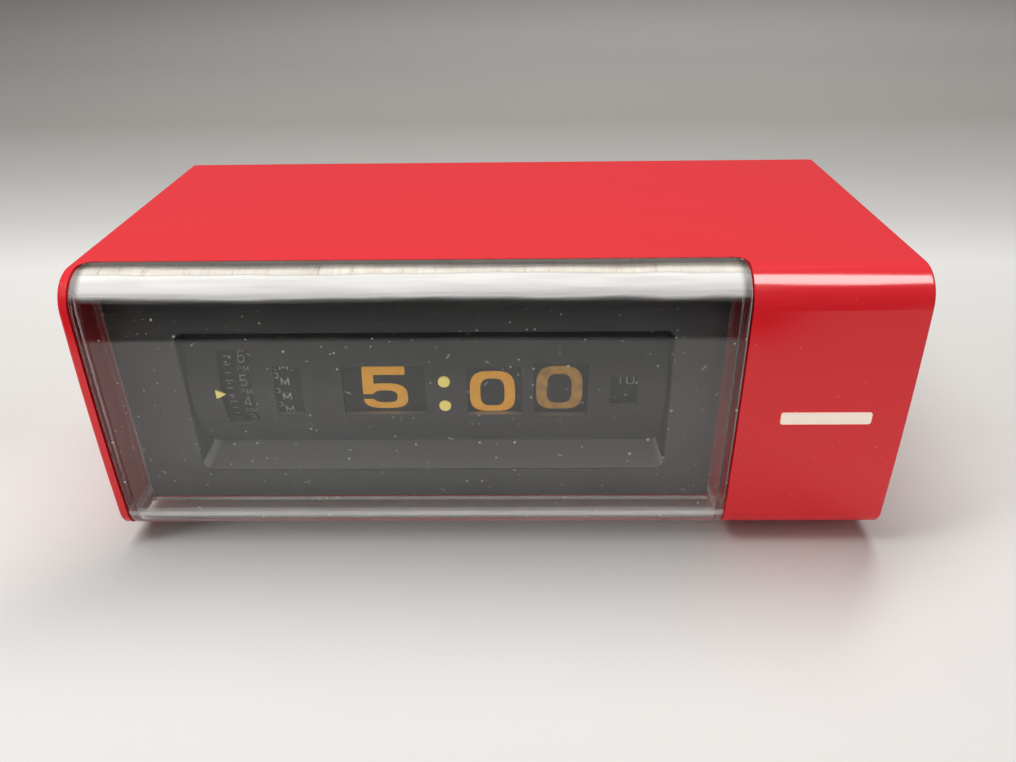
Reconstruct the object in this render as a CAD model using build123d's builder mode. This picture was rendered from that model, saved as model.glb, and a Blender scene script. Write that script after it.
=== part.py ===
from build123d import *
from math import sin, cos, tan, pi, radians, degrees, sqrt, acos
import os

os.makedirs("parts", exist_ok=True)

# ------------------------------------------------------------------
# Rotating-drum alarm clock.  Millimetres, +X right, +Y back, +Z up.
# Origin: centre of the bounding box, on the table.
# ------------------------------------------------------------------

# ---- driving dimensions: outer case
case_hw = 100.0          # half width
case_z0, case_z1 = 4.6, 76.0
front_y, shell_back = -55.0, 42.0
wall = 2.2               # plastic wall of the shell
block_x = 59.3           # left face of the plain block at the right
lens_back = -42.5        # rear edge of the clear lens
lens_wall = 2.3
cover_back = 52.8        # rear face of the black rear cover
table = 0.0

# ---- driving dimensions: dial
bez_y, bez_t = -42.0, 2.4
rec_x0, rec_x1, rec_z0, rec_z1 = -80.0, 44.5, 15.6, 57.0
panel_ro, panel_ri = 28.2, 26.6

# ---- driving dimensions: mechanism (all shafts run along X)
Ay, Az = -13.0, 39.0     # drum axle
By, Bz = 19.0, 39.0      # transfer shaft
Sy, Sz = 38.0, 39.0      # setting-wheel shaft
Dy, Dz = Ay + 28 * cos(radians(40)), Az - 28 * sin(radians(40))   # drive shaft
Gy, Gz = Dy + 13.5 * cos(radians(60)), Dz + 13.5 * sin(radians(60))  # reduction gear
My, Mz = Gy, Gz + 13.5   # motor
drum_r, drum_w = 26.2, 1.5
alarm_r = 25.0           # the alarm drum is slightly smaller
axle_r, shaft_r = 1.5, 1.0
run = 0.05               # running clearance, radial
plate_l = (-78.0, -76.4)
plate_r = (40.0, 41.6)


# ---- small helpers that add to the sub-part being built
def disc(x0, x1, cy, cz, r, r_in=0.0, mode=Mode.ADD):
    with BuildSketch(Plane.YZ.offset(x0)) as s:
        with Locations((cy, cz)):
            Circle(r)
            if r_in > 0:
                Circle(r_in, mode=Mode.SUBTRACT)
    extrude(s.sketch, amount=x1 - x0, mode=mode)


def block(x0, x1, y0, y1, z0, z1, mode=Mode.ADD):
    with Locations(((x0 + x1) / 2, (y0 + y1) / 2, (z0 + z1) / 2)):
        Box(x1 - x0, y1 - y0, z1 - z0, mode=mode)


def post(cx, cy, z0, z1, r, r_in=0.0, mode=Mode.ADD):
    with BuildSketch(Plane.XY.offset(z0)) as s:
        with Locations((cx, cy)):
            Circle(r)
            if r_in > 0:
                Circle(r_in, mode=Mode.SUBTRACT)
    extrude(s.sketch, amount=z1 - z0, mode=mode)


def rod_y(cx, cz, y0, y1, r, r_in=0.0, mode=Mode.ADD):
    with BuildSketch(Plane.XZ.offset(-y0)) as s:
        with Locations((cx, cz)):
            Circle(r)
            if r_in > 0:
                Circle(r_in, mode=Mode.SUBTRACT)
    extrude(s.sketch, amount=-(y1 - y0), mode=mode)


def gear_points(z, m, cy, cz, rot, thick=0.44, ha=0.85, hd=1.15):
    """Outline of a spur gear with one tooth centred on angle rot (degrees)."""
    rp, alpha = m * z / 2, radians(20)
    rb, ra, rf = rp * cos(alpha), rp + ha * m, rp - hd * m
    inv = lambda r: tan(acos(min(1, rb / r))) - acos(min(1, rb / r))
    half = thick * pi / z
    r0 = max(rb, rf)
    radii = [r0 + (ra - r0) * k / 3 for k in range(4)]
    flank = [(r, max(0.12 / r, half + inv(rp) - inv(r))) for r in radii]
    if rf < r0 - 1e-6:
        flank = [(rf, flank[0][1])] + flank
    pts = []
    for i in range(z):
        a0 = radians(rot) + 2 * pi * i / z
        for r, a in flank:
            pts.append((cy + r * cos(a0 - a), cz + r * sin(a0 - a)))
        for r, a in reversed(flank):
            pts.append((cy + r * cos(a0 + a), cz + r * sin(a0 + a)))
    return pts


def gear(x0, x1, z, m, cy, cz, rot, bore=0.0, thick=0.44, ha=0.85, hd=1.15):
    with BuildSketch(Plane.YZ.offset(x0)) as s:
        with BuildLine() as outline:
            Polyline(*gear_points(z, m, cy, cz, rot, thick, ha, hd), close=True)
        make_face(outline.line.edges())
        if bore > 0:
            with Locations((cy, cz)):
                Circle(bore, mode=Mode.SUBTRACT)
    extrude(s.sketch, amount=x1 - x0)


def toward(cy, cz, ty, tz):
    """Angle from one shaft to another, degrees, in the YZ plane."""
    from math import atan2
    return degrees(atan2(tz - cz, ty - cy))


# ---- side profile of the case: flat top, rounded brow, crowned front
with BuildSketch() as case_profile:
    with BuildLine():
        p1 = Polyline((-53.4, case_z1), (shell_back, case_z1), (shell_back, case_z0), (-54.6, case_z0))
        ThreePointArc((-54.6, case_z0), (front_y, 32.0), (-53.4, case_z1))
    make_face()
    fillet(case_profile.vertices().sort_by(Axis.X)[0:2].sort_by(Axis.Y)[1:2], 9.0)
    fillet(case_profile.vertices().sort_by(Axis.X)[0:1], 5.5)

with BuildSketch() as case_inner:
    add(case_profile.sketch)
    offset(amount=-wall)

with BuildSketch() as lens_inner:
    add(case_profile.sketch)
    offset(amount=-lens_wall)

# ------------------------------------------------------------------
# 1. Case shell: red moulded box, open at the back, cut away at the
#    front for the lens, with a plain closed block at the right.
# ------------------------------------------------------------------
with BuildPart() as case_shell:
    with BuildSketch(Plane.YZ.offset(-case_hw)):
        add(case_profile.sketch)
    extrude(amount=2 * case_hw)
    rear_corners = case_shell.edges().filter_by(Axis.Z).filter_by_position(Axis.Y, shell_back - 0.1, shell_back + 0.1)
    fillet(rear_corners, 1.6)
    side_rims = case_shell.faces().sort_by(Axis.X)[0].edges() + case_shell.faces().sort_by(Axis.X)[-1].edges()
    fillet(side_rims.filter_by(lambda e: e.center().Y < shell_back - 5), 0.7)
    with BuildSketch(Plane.YZ.offset(-case_hw + wall)):
        add(case_inner.sketch)
    extrude(amount=block_x - (-case_hw + wall), mode=Mode.SUBTRACT)
    with BuildSketch(Plane.YZ.offset(block_x + wall)):
        add(case_inner.sketch)
    extrude(amount=case_hw - wall - (block_x + wall), mode=Mode.SUBTRACT)
    # open back
    block(-case_hw + wall, case_hw - wall, shell_back - 3, shell_back + 1, case_z0 + wall, case_z1 - wall, Mode.SUBTRACT)
    # front opening for the lens
    with BuildSketch(Plane.XY.offset(case_z0 - 1)) as opening:
        with Locations(((block_x - case_hw + wall) / 2, (front_y - 12 + bez_y) / 2)):
            RectangleRounded(block_x + case_hw - wall, bez_y - front_y + 12, 3.4)
    extrude(opening.sketch, amount=case_z1 - case_z0 + 2, mode=Mode.SUBTRACT)
    # the dividing wall is open behind the dial so that the drive shaft passes
    block(block_x - 1, block_x + wall + 1, 24, shell_back + 1, 12, 70, Mode.SUBTRACT)
    disc(block_x - 1, block_x + wall + 1, Dy, Dz, 1.6, mode=Mode.SUBTRACT)
    # ribs that carry the dial bezel, and bosses under the movement frame
    for zz in (case_z0 + wall, case_z1 - wall - 1.6):
        block(-96.0, 57.5, bez_y + bez_t + 0.1, bez_y + bez_t + 2.0, zz, zz + 1.6)
    for px, py in ((-84.0, -14.0), (-84.0, 30.0), (47.5, -14.0), (47.5, 30.0)):
        post(px, py, case_z0 + 1, 9.4, 3.2)
        post(px, py, case_z0 + 2.4, 9.5, 0.9, mode=Mode.SUBTRACT)
case_shell.part.label = "case_shell"
export_step(case_shell.part, "parts/case_shell.step")

# ------------------------------------------------------------------
# 2. Lens: clear box crystal, open at the rear
# ------------------------------------------------------------------
lens_x0, lens_x1 = -97.7, 59.2
with BuildPart() as lens:
    with BuildSketch(Plane.YZ.offset(lens_x0)):
        add(case_profile.sketch)
    extrude(amount=lens_x1 - lens_x0)
    block(-120, 120, -30.0, shell_back + 5, 0, 90, Mode.SUBTRACT)
    fillet(lens.faces().sort_by(Axis.X)[0].edges().filter_by(lambda e: e.center().Y < -30.5), 1.2)
    fillet(lens.faces().sort_by(Axis.X)[-1].edges().filter_by(lambda e: e.center().Y < -30.5), 1.2)
    block(-120, 120, lens_back, -29.0, 0, 90, Mode.SUBTRACT)
    # the two rear corners are rounded in plan
    for sx, cx in ((lens_x0, lens_x0 + 3.3), (lens_x1, lens_x1 - 3.3)):
        with BuildSketch(Plane.XY) as corner:
            with Locations(((sx + cx) / 2 + (sx - cx) / 6, lens_back - 1.65 + 0.55)):
                Rectangle(4.4, 4.4)
            with Locations((cx, lens_back - 3.3)):
                Circle(3.3, mode=Mode.SUBTRACT)
        extrude(corner.sketch, amount=90, mode=Mode.SUBTRACT)
    with BuildSketch(Plane.YZ.offset(lens_x0 + lens_wall)):
        add(lens_inner.sketch)
    extrude(amount=lens_x1 - lens_x0 - 2 * lens_wall, mode=Mode.SUBTRACT)
lens.part.label = "lens"
export_step(lens.part, "parts/lens.step")

# 3. Lens seal: thin pale strip of glue and foam under the lens top edge
with BuildPart() as lens_seal:
    block(-93.8, 55.4, lens_back + 0.05, bez_y - 0.05, 73.75, 75.8)
lens_seal.part.label = "lens_seal"
export_step(lens_seal.part, "parts/lens_seal.step")

# ------------------------------------------------------------------
# 4. Dial bezel: flat frame, splayed recess, curved window panel
# ------------------------------------------------------------------
windows = {  # x0, x1, z0, z1
    "alarm": (-71.35, -62.85, 28.70, 50.60),
    "am_pm": (-57.35, -50.10, 32.25, 46.60),
    "hour": (-39.80, -18.20, 32.30, 46.60),
    "tens": (-7.70, 6.55, 32.00, 46.30),
    "units": (9.55, 23.50, 31.60, 47.10),
    "seconds": (29.25, 36.20, 34.90, 43.45),
}


def rec_rect(y, grow):
    """Recess outline at depth y: x0, x1, z0, z1."""
    d = y - bez_y
    return (rec_x0 + 0.19 * d - grow, rec_x1 - 0.19 * d + grow,
            rec_z0 + 0.45 * d - grow, rec_z1 - 0.25 * d + grow)


def recess(y0, y1, grow, r, mode):
    with BuildSketch(Plane.XZ.offset(-y0)) as a:
        x0, x1, z0, z1 = rec_rect(y0, grow)
        with Locations(((x0 + x1) / 2, (z0 + z1) / 2)):
            RectangleRounded(x1 - x0, z1 - z0, r)
    with BuildSketch(Plane.XZ.offset(-y1)) as b:
        x0, x1, z0, z1 = rec_rect(y1, grow)
        with Locations(((x0 + x1) / 2, (z0 + z1) / 2)):
            RectangleRounded(x1 - x0, z1 - z0, r)
    loft([a.sketch, b.sketch], mode=mode)


with BuildPart() as dial_bezel:
    block(-97.4, 58.9, bez_y, bez_y + bez_t, case_z0 + wall + 0.2, case_z1 - wall - 0.2)
    recess(bez_y, -29.0, 1.6, 3.6, Mode.ADD)
    recess(bez_y - 0.01, -28.0, 0.0, 2.4, Mode.SUBTRACT)
    with BuildSketch(Plane.YZ.offset(-79.2)) as sector:
        with Locations((Ay, Az)):
            Circle(panel_ro)
            Circle(panel_ri, mode=Mode.SUBTRACT)
        with Locations((-35.0, (18.4 + 56.4) / 2)):
            Rectangle(20, 56.4 - 18.4, mode=Mode.INTERSECT)
    extrude(sector.sketch, amount=43.6 + 79.2)
    disc(-76.3, 40.0, Ay, Az, panel_ri, mode=Mode.SUBTRACT)
    for w in windows.values():
        block(w[0], w[1], -46, -30, w[2], w[3], Mode.SUBTRACT)
    for cz in (42.4, 35.35):     # sockets for the colon studs
        rod_y(-13.4, cz, -43, -40.3, 1.56, mode=Mode.SUBTRACT)
    lip = dial_bezel.faces().filter_by(Axis.Y).sort_by(Axis.Y)[0].inner_wires()[0].edges()
    fillet(lip, 0.5)
dial_bezel.part.label = "dial_bezel"
export_step(dial_bezel.part, "parts/dial_bezel.step")

# 5. Colon between hour and minute windows: two domed studs
with BuildPart() as colon_dots:
    for cz in (42.4, 35.35):
        yy = Ay - sqrt(panel_ro ** 2 - (cz - Az) ** 2)
        rod_y(-13.4, cz, yy - 0.35, -40.3, 1.52)
    chamfer(colon_dots.faces().filter_by(Axis.Y).group_by(Axis.Y)[0].edges(), 0.12)
colon_dots.part.label = "colon_dots"
export_step(colon_dots.part, "parts/colon_dots.step")

# 6. Alarm pointer: small triangle pointing at the alarm scale
with BuildPart() as alarm_pointer:
    with BuildSketch(Plane.XZ.offset(41.75)):
        with BuildLine():
            Polyline((-72.5, 40.5), (-70.0, 39.3), (-72.5, 38.1), close=True)
        make_face()
    extrude(amount=-0.53)
alarm_pointer.part.label = "alarm_pointer"
export_step(alarm_pointer.part, "parts/alarm_pointer.step")

# 7. Badge: blank raised bar on the right block
with BuildPart() as badge_bar:
    with BuildSketch(Plane.XZ.offset(55.3)):
        with Locations((80.2, 39.4)):
            RectangleRounded(21.8, 3.2, 0.6)
    extrude(amount=-0.9)
    with BuildSketch(Plane.YZ.offset(60)):
        add(case_profile.sketch)
    extrude(amount=40, mode=Mode.SUBTRACT)
badge_bar.part.label = "badge_bar"
export_step(badge_bar.part, "parts/badge_bar.step")

# ------------------------------------------------------------------
# 8. Rear cover: black tray with slots for the two setting wheels,
#    alarm switch, alarm stop bar, battery hatch and sound holes
# ------------------------------------------------------------------
cov = (-96.0, 96.0, 7.2, 72.4)
hinge_y, hinge_z = 54.0, 8.4
with BuildPart() as rear_cover:
    block(cov[0], cov[1], shell_back, cover_back, cov[2], cov[3])
    fillet(rear_cover.edges().filter_by(Axis.Y), 3.0)
    fillet(rear_cover.faces().sort_by(Axis.Y)[-1].edges(), 1.2)
    block(-97.7, 97.7, 40.2, shell_back, 6.95, 73.65)
    block(cov[0] + 2.2, cov[1] - 2.2, 39, 50.8, cov[2] + 2.2, cov[3] - 2.2, Mode.SUBTRACT)
    # wheel slots
    block(-74.1, -66.7, 48, 60, Sz - 12.5, Sz + 12.5, Mode.SUBTRACT)
    block(17.3, 24.7, 48, 60, Sz - 12.5, Sz + 12.5, Mode.SUBTRACT)
    # alarm switch slot
    block(-33.4, -23.6, 48, 60, 59.9, 64.1, Mode.SUBTRACT)
    # alarm stop bar opening in the top wall
    block(-78.4, -45.6, 42.9, 50.5, 69.0, 74.0, Mode.SUBTRACT)
    # battery hatch opening
    block(66.2, 95.0 - 0.2, 50.0, 60, 10.7, 37.8, Mode.SUBTRACT)
    # sound holes
    with Locations(Plane.XZ.offset(-60) * Location((80.0, 56.0, 0))):
        with PolarLocations(9.0, 12):
            Cylinder(1.1, 30, mode=Mode.SUBTRACT)
        with PolarLocations(4.8, 6):
            Cylinder(1.1, 30, mode=Mode.SUBTRACT)
        Cylinder(1.1, 30, mode=Mode.SUBTRACT)
    # cooling slots low on the back
    for i in range(9):
        block(-52 + 6 * i, -49.4 + 6 * i, 48, 60, 16, 24, Mode.SUBTRACT)
    # shelves that carry the two springs of the stop bar
    for sx in (-72.5, -51.5):
        block(sx - 2.2, sx + 2.2, 43.8, 50.9, 60.0, 61.5)
    # hinge lugs for the battery hatch
    for lx in (69.0, 90.0):
        disc(lx, lx + 2.0, hinge_y, hinge_z, 0.95)
        block(lx, lx + 2.0, 52.0, hinge_y, hinge_z - 0.5 + 0.6, hinge_z + 0.95)
    disc(68, 93, hinge_y, hinge_z, 0.42, mode=Mode.SUBTRACT)
    # screw holes in the four corners
    for sx in (-89.5, 60.5):
        for sz in (15.5, 65.5):
            rod_y(sx, sz, 48, 60, 1.7, mode=Mode.SUBTRACT)
            rod_y(sx, sz, cover_back - 0.9, 60, 3.0, mode=Mode.SUBTRACT)
rear_cover.part.label = "rear_cover"
export_step(rear_cover.part, "parts/rear_cover.step")

# 9. Four cover screws, one node
with BuildPart() as rear_cover_screws:
    for sx in (-89.5, 60.5):
        for sz in (15.5, 65.5):
            rod_y(sx, sz, cover_back - 0.9, cover_back + 0.5, 2.8)
            rod_y(sx, sz, 42.0, cover_back - 0.5, 1.4)
            block(sx - 2.0, sx + 2.0, cover_back - 0.1, cover_back + 1, sz - 0.35, sz + 0.35, Mode.SUBTRACT)
            block(sx - 0.35, sx + 0.35, cover_back - 0.1, cover_back + 1, sz - 2.0, sz + 2.0, Mode.SUBTRACT)
rear_cover_screws.part.label = "rear_cover_screws"
export_step(rear_cover_screws.part, "parts/rear_cover_screws.step")

# 10. Base plinth, set well back under the case, and 11. its rubber feet
with BuildPart() as base_plinth:
    block(-80.0, 80.0, -34.0, 32.0, 1.6, case_z0)
    fillet(base_plinth.edges().filter_by(Axis.Z), 5.0)
    chamfer(base_plinth.faces().sort_by(Axis.Z)[0].edges(), 0.8)
    for px in (-69.0, 69.0):
        for py in (-24.0, 22.0):
            post(px, py, 1.0, 2.6, 6.05, mode=Mode.SUBTRACT)
base_plinth.part.label = "base_plinth"
export_step(base_plinth.part, "parts/base_plinth.step")

with BuildPart() as rubber_feet:
    for px in (-69.0, 69.0):
        for py in (-24.0, 22.0):
            post(px, py, table, 2.6, 6.0)
    fillet(rubber_feet.faces().group_by(Axis.Z)[0].edges(), 0.5)
rubber_feet.part.label = "rubber_feet"
export_step(rubber_feet.part, "parts/rubber_feet.step")

# ------------------------------------------------------------------
# Movement frame
# ------------------------------------------------------------------
pillar_at = ((3.0, 11.6), (3.0, 66.4), (40.5, 16.5), (40.5, 61.5))


def frame_plate(x0, x1, with_drive):
    block(x0, x1, -22.0, 38.6, 8.9, 69.4)
    block(x0, x1, 38.0, 48.0, 12.5, 62.4)
    for a, b, r in ((Ay, Az, axle_r), (By, Bz, shaft_r)) + (() if with_drive else ((Sy, Sz, shaft_r),)):
        disc(x0 - 1, x1 + 1, a, b, r + 0.02, mode=Mode.SUBTRACT)
    for a, b in pillar_at:
        disc(x0 - 1, x1 + 1, a, b, 1.52, mode=Mode.SUBTRACT)
    # lightening holes
    for a, b, r in ((-13.0, 60.0, 5.0), (-13.0, 18.0, 5.0), (19.0, 60.0, 6.0)):
        disc(x0 - 1, x1 + 1, a, b, r, mode=Mode.SUBTRACT)
    if with_drive:
        disc(x0 - 1, x1 + 1, Dy, Dz, shaft_r + run, mode=Mode.SUBTRACT)


with BuildPart() as frame_plate_left:
    frame_plate(*plate_l, False)
    for py in (-14.0, 30.0):     # feet bent outwards
        block(-88.0, plate_l[1], py - 5, py + 5, 9.4, 10.8)
        post(-84.0, py, 9, 12, 1.5, mode=Mode.SUBTRACT)
frame_plate_left.part.label = "frame_plate_left"
export_step(frame_plate_left.part, "parts/frame_plate_left.step")

with BuildPart() as frame_plate_right:
    frame_plate(*plate_r, True)
    for py in (-14.0, 30.0):
        block(plate_r[0], 51.5, py - 5, py + 5, 9.4, 10.8)
        post(47.5, py, 9, 12, 1.5, mode=Mode.SUBTRACT)
frame_plate_right.part.label = "frame_plate_right"
export_step(frame_plate_right.part, "parts/frame_plate_right.step")

with BuildPart() as frame_screws:
    for px, py in ((-84.0, -14.0), (-84.0, 30.0), (47.5, -14.0), (47.5, 30.0)):
        post(px, py, 10.8, 12.4, 2.7)
        post(px, py, 8.5, 11.0, 0.88)
        block(px - 2.2, px + 2.2, py - 0.35, py + 0.35, 11.8, 13, Mode.SUBTRACT)
frame_screws.part.label = "frame_screws"
export_step(frame_screws.part, "parts/frame_screws.step")

with BuildPart() as frame_pillars:
    for a, b in pillar_at:
        disc(plate_l[1], plate_r[0], a, b, 2.2)
        disc(plate_l[0], plate_r[1], a, b, 1.5)
frame_pillars.part.label = "frame_pillars"
export_step(frame_pillars.part, "parts/frame_pillars.step")

with BuildPart() as frame_nuts:
    for a, b in pillar_at:
        for x0, x1 in ((plate_l[0] - 1.6, plate_l[0]), (plate_r[1], plate_r[1] + 1.6)):
            with BuildSketch(Plane.YZ.offset(x0)) as s:
                with Locations((a, b)):
                    RegularPolygon(2.9, 6)
            extrude(s.sketch, amount=x1 - x0)
frame_nuts.part.label = "frame_nuts"
export_step(frame_nuts.part, "parts/frame_nuts.step")

# bracket between two pillars: the right-hand bearing of the setting shaft
with BuildPart() as setting_bracket:
    block(16.0, 17.2, 33.5, 44.0, 12.5, 65.5)
    fillet(setting_bracket.edges().filter_by(Axis.X), 2.0)
    for a, b in pillar_at[2:]:
        disc(15, 18, a, b, 2.2, mode=Mode.SUBTRACT)
    disc(15, 18, Sy, Sz, shaft_r + 0.02, mode=Mode.SUBTRACT)
    disc(15, 18, 38.0, 27.5, 3.0, mode=Mode.SUBTRACT)
    disc(15, 18, 38.0, 50.5, 3.0, mode=Mode.SUBTRACT)
setting_bracket.part.label = "setting_bracket"
export_step(setting_bracket.part, "parts/setting_bracket.step")

with BuildPart() as drum_axle:
    disc(-80.4, 44.0, Ay, Az, axle_r)
    for xx in (-79.6, 42.6):
        disc(xx, xx + 0.7, Ay, Az, axle_r + 0.1, 1.1, mode=Mode.SUBTRACT)
drum_axle.part.label = "drum_axle"
export_step(drum_axle.part, "parts/drum_axle.step")

with BuildPart() as transfer_shaft:
    disc(-80.2, 43.8, By, Bz, shaft_r)
transfer_shaft.part.label = "transfer_shaft"
export_step(transfer_shaft.part, "parts/transfer_shaft.step")

with BuildPart() as setting_shaft:
    disc(-80.2, 26.4, Sy, Sz, shaft_r)
setting_shaft.part.label = "setting_shaft"
export_step(setting_shaft.part, "parts/setting_shaft.step")

with BuildPart() as axle_clips:
    for xx in (-79.55, 42.65):
        disc(xx, xx + 0.6, Ay, Az, 3.2, 1.12)
        block(xx - 0.1, xx + 0.7, Ay - 0.9, Ay + 0.9, Az - 4, Az, Mode.SUBTRACT)
axle_clips.part.label = "axle_clips"
export_step(axle_clips.part, "parts/axle_clips.step")

with BuildPart() as shaft_collars:
    for a, b, x0, w in ((By, Bz, -79.8, 1.5), (By, Bz, 41.9, 1.5), (Sy, Sz, -79.8, 1.5), (Sy, Sz, 25.75, 0.6)):
        disc(x0, x0 + w, a, b, 2.4, shaft_r)
shaft_collars.part.label = "shaft_collars"
export_step(shaft_collars.part, "parts/shaft_collars.step")


# ------------------------------------------------------------------
# Drums.  Each is a thin rim on a spoked web and a hub, and carries
# the gear that moves it.
# ------------------------------------------------------------------
def drum_body(rim0, rim1, web_x, hub0, hub1, r=drum_r):
    disc(rim0, rim1, Ay, Az, r, r - drum_w)
    disc(web_x, web_x + 1.4, Ay, Az, r - 0.6, axle_r + run)
    disc(hub0, hub1, Ay, Az, 4.2, axle_r + run)


def web_holes(web_x):
    with Locations(Plane.YZ.offset(web_x - 2) * Location((Ay, Az, 0))):
        with PolarLocations(13.0, 6):
            Cylinder(4.2, 8, mode=Mode.SUBTRACT)


gap24 = 180.0 / 24
with BuildPart() as alarm_drum:
    drum_body(-74.2, -60.9, -74.2, -76.1, -60.4, alarm_r)
    gear(-75.6, -74.2, 48, 1.0, Ay, Az, 180.0 / 48, axle_r + run)
    web_holes(-74.6)
alarm_drum.part.label = "alarm_drum"
export_step(alarm_drum.part, "parts/alarm_drum.step")

with BuildPart() as am_pm_drum:
    drum_body(-59.6, -48.9, -50.3, -60.1, -47.3)
    gear(-48.9, -47.8, 24, 2.0, Ay, Az, gap24, axle_r + run, ha=0.8)
    web_holes(-49.0)
am_pm_drum.part.label = "am_pm_drum"
export_step(am_pm_drum.part, "parts/am_pm_drum.step")

with BuildPart() as hour_drum:
    drum_body(-41.4, -17.4, -18.8, -46.8, -15.8)
    gear(-17.4, -16.3, 24, 2.0, Ay, Az, gap24, axle_r + run, ha=0.8)
    # carry disc that hands on to the AM/PM drum
    disc(-43.6, -42.4, Ay, Az, 21.4, axle_r + run)
    disc(-42.4, -41.4, Ay, Az, 10.0, axle_r + run)
    disc(-41.4, -40.0, Ay, Az, drum_r - 0.6, axle_r + run)
    web_holes(-17.6)
hour_drum.part.label = "hour_drum"
export_step(hour_drum.part, "parts/hour_drum.step")

with BuildPart() as minute_tens_drum:
    drum_body(-8.6, 6.7, 5.3, -15.3, 7.8)
    gear(6.7, 7.7, 24, 2.0, Ay, Az, gap24, axle_r + run, ha=0.8)
    disc(-12.2, -11.0, Ay, Az, 21.4, axle_r + run)
    disc(-11.0, -8.6, Ay, Az, 10.0, axle_r + run)
    disc(-8.6, -7.2, Ay, Az, drum_r - 0.6, axle_r + run)
    web_holes(6.0)
minute_tens_drum.part.label = "minute_tens_drum"
export_step(minute_tens_drum.part, "parts/minute_tens_drum.step")

with BuildPart() as minute_units_drum:
    drum_body(8.85, 24.3, 22.9, 8.1, 25.9)
    disc(8.0, 8.85, Ay, Az, 21.4, axle_r + run)
    gear(24.3, 25.4, 64, 2.0 / 3, Ay, Az, 180.0 / 64, axle_r + run)
    web_holes(23.4)
minute_units_drum.part.label = "minute_units_drum"
export_step(minute_units_drum.part, "parts/minute_units_drum.step")

seconds_rot = toward(Ay, Az, Dy, Dz)
with BuildPart() as seconds_drum:
    drum_body(28.3, 37.2, 28.3, 26.2, 39.2)
    gear(26.4, 28.3, 16, 2.0 / 3, Ay, Az, 180.0 / 16, axle_r + run)
    gear(37.2, 38.4, 72, 2.0 / 3, Ay, Az, seconds_rot + 180.0 / 72, axle_r + run)
    with Locations(Plane.YZ.offset(33) * Location((Ay, Az, 0))):
        with PolarLocations(13.0, 6):
            Cylinder(4.2, 30, mode=Mode.SUBTRACT)
seconds_drum.part.label = "seconds_drum"
export_step(seconds_drum.part, "parts/seconds_drum.step")


# ------------------------------------------------------------------
# Transfer-shaft pinions (8 long teeth), each in mesh with the drum
# at its left
# ------------------------------------------------------------------
def carry_pinion(x0, x1):
    gear(x0, x1, 8, 2.0, By, Bz, 180.0, shaft_r + run, thick=0.40, ha=0.75, hd=1.1)


with BuildPart() as carry_pinion_am_pm:
    carry_pinion(-48.7, -42.6)
    disc(-49.3, -42.0, By, Bz, 3.0, shaft_r + run)
carry_pinion_am_pm.part.label = "carry_pinion_am_pm"
export_step(carry_pinion_am_pm.part, "parts/carry_pinion_am_pm.step")

with BuildPart() as carry_pinion_hour:
    carry_pinion(-17.2, -11.2)
    disc(-17.8, -10.6, By, Bz, 3.0, shaft_r + run)
carry_pinion_hour.part.label = "carry_pinion_hour"
export_step(carry_pinion_hour.part, "parts/carry_pinion_hour.step")

with BuildPart() as carry_pinion_tens:
    carry_pinion(6.95, 8.6)
    disc(5.8, 9.7, By, Bz, 3.0, shaft_r + run)
carry_pinion_tens.part.label = "carry_pinion_tens"
export_step(carry_pinion_tens.part, "parts/carry_pinion_tens.step")

# Seconds reduction cluster: large wheel driven by the seconds drum,
# small wheel driving the minute drum and the time-setting wheel
with BuildPart() as seconds_cluster:
    gear(26.6, 27.6, 80, 2.0 / 3, By, Bz, 180.0, shaft_r + run)
    gear(24.5, 25.7, 32, 2.0 / 3, By, Bz, 180.0, shaft_r + run)
    disc(25.7, 26.6, By, Bz, 5.0, shaft_r + run)
    disc(27.6, 29.0, By, Bz, 3.0, shaft_r + run)
    with Locations(Plane.YZ.offset(27) * Location((By, Bz, 0))):
        with PolarLocations(17.5, 6):
            Cylinder(4.0, 1.6, mode=Mode.SUBTRACT)
seconds_cluster.part.label = "seconds_cluster"
export_step(seconds_cluster.part, "parts/seconds_cluster.step")

with BuildPart() as alarm_idler:
    gear(-75.6, -74.4, 16, 1.0, By, Bz, 180.0, shaft_r + run)
    disc(-76.1, -73.7, By, Bz, 3.0, shaft_r + run)
alarm_idler.part.label = "alarm_idler"
export_step(alarm_idler.part, "parts/alarm_idler.step")

# spacer bushes on the transfer and setting shafts
with BuildPart() as shaft_spacers:
    for x0, x1 in ((-73.3, -49.6), (-41.7, -18.1), (-10.3, 5.5), (10.0, 23.9), (29.3, 39.8)):
        disc(x0, x1, By, Bz, 1.5, shaft_r)
    for x0, x1 in ((-66.9, 15.9), (17.3, 17.9)):
        disc(x0, x1, Sy, Sz, 1.9, shaft_r)
shaft_spacers.part.label = "shaft_spacers"
export_step(shaft_spacers.part, "parts/shaft_spacers.step")


# ------------------------------------------------------------------
# Setting wheels: knurled rims that stand out of the rear cover
# ------------------------------------------------------------------
def knurled_wheel(x0, x1):
    pts = []
    n = 72
    for i in range(n):
        a = 2 * pi * i / n
        r = 17.3 if i % 2 == 0 else 16.75
        pts.append((Sy + r * cos(a), Sz + r * sin(a)))
    with BuildSketch(Plane.YZ.offset(x0)) as s:
        with BuildLine() as outline:
            Polyline(*pts, close=True)
        make_face(outline.line.edges())
        with Locations((Sy, Sz)):
            Circle(14.6, mode=Mode.SUBTRACT)
    extrude(s.sketch, amount=x1 - x0)
    disc(x0 + 2.2, x0 + 3.8, Sy, Sz, 15.0, shaft_r + run)
    disc(x0, x1, Sy, Sz, 3.2, shaft_r + run)


with BuildPart() as alarm_set_wheel:
    knurled_wheel(-73.4, -67.4)
    gear(-75.6, -74.2, 22, 1.0, Sy, Sz, 180.0 + 180.0 / 22, shaft_r + run)
    disc(-76.1, -73.4, Sy, Sz, 3.2, shaft_r + run)
alarm_set_wheel.part.label = "alarm_set_wheel"
export_step(alarm_set_wheel.part, "parts/alarm_set_wheel.step")

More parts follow.
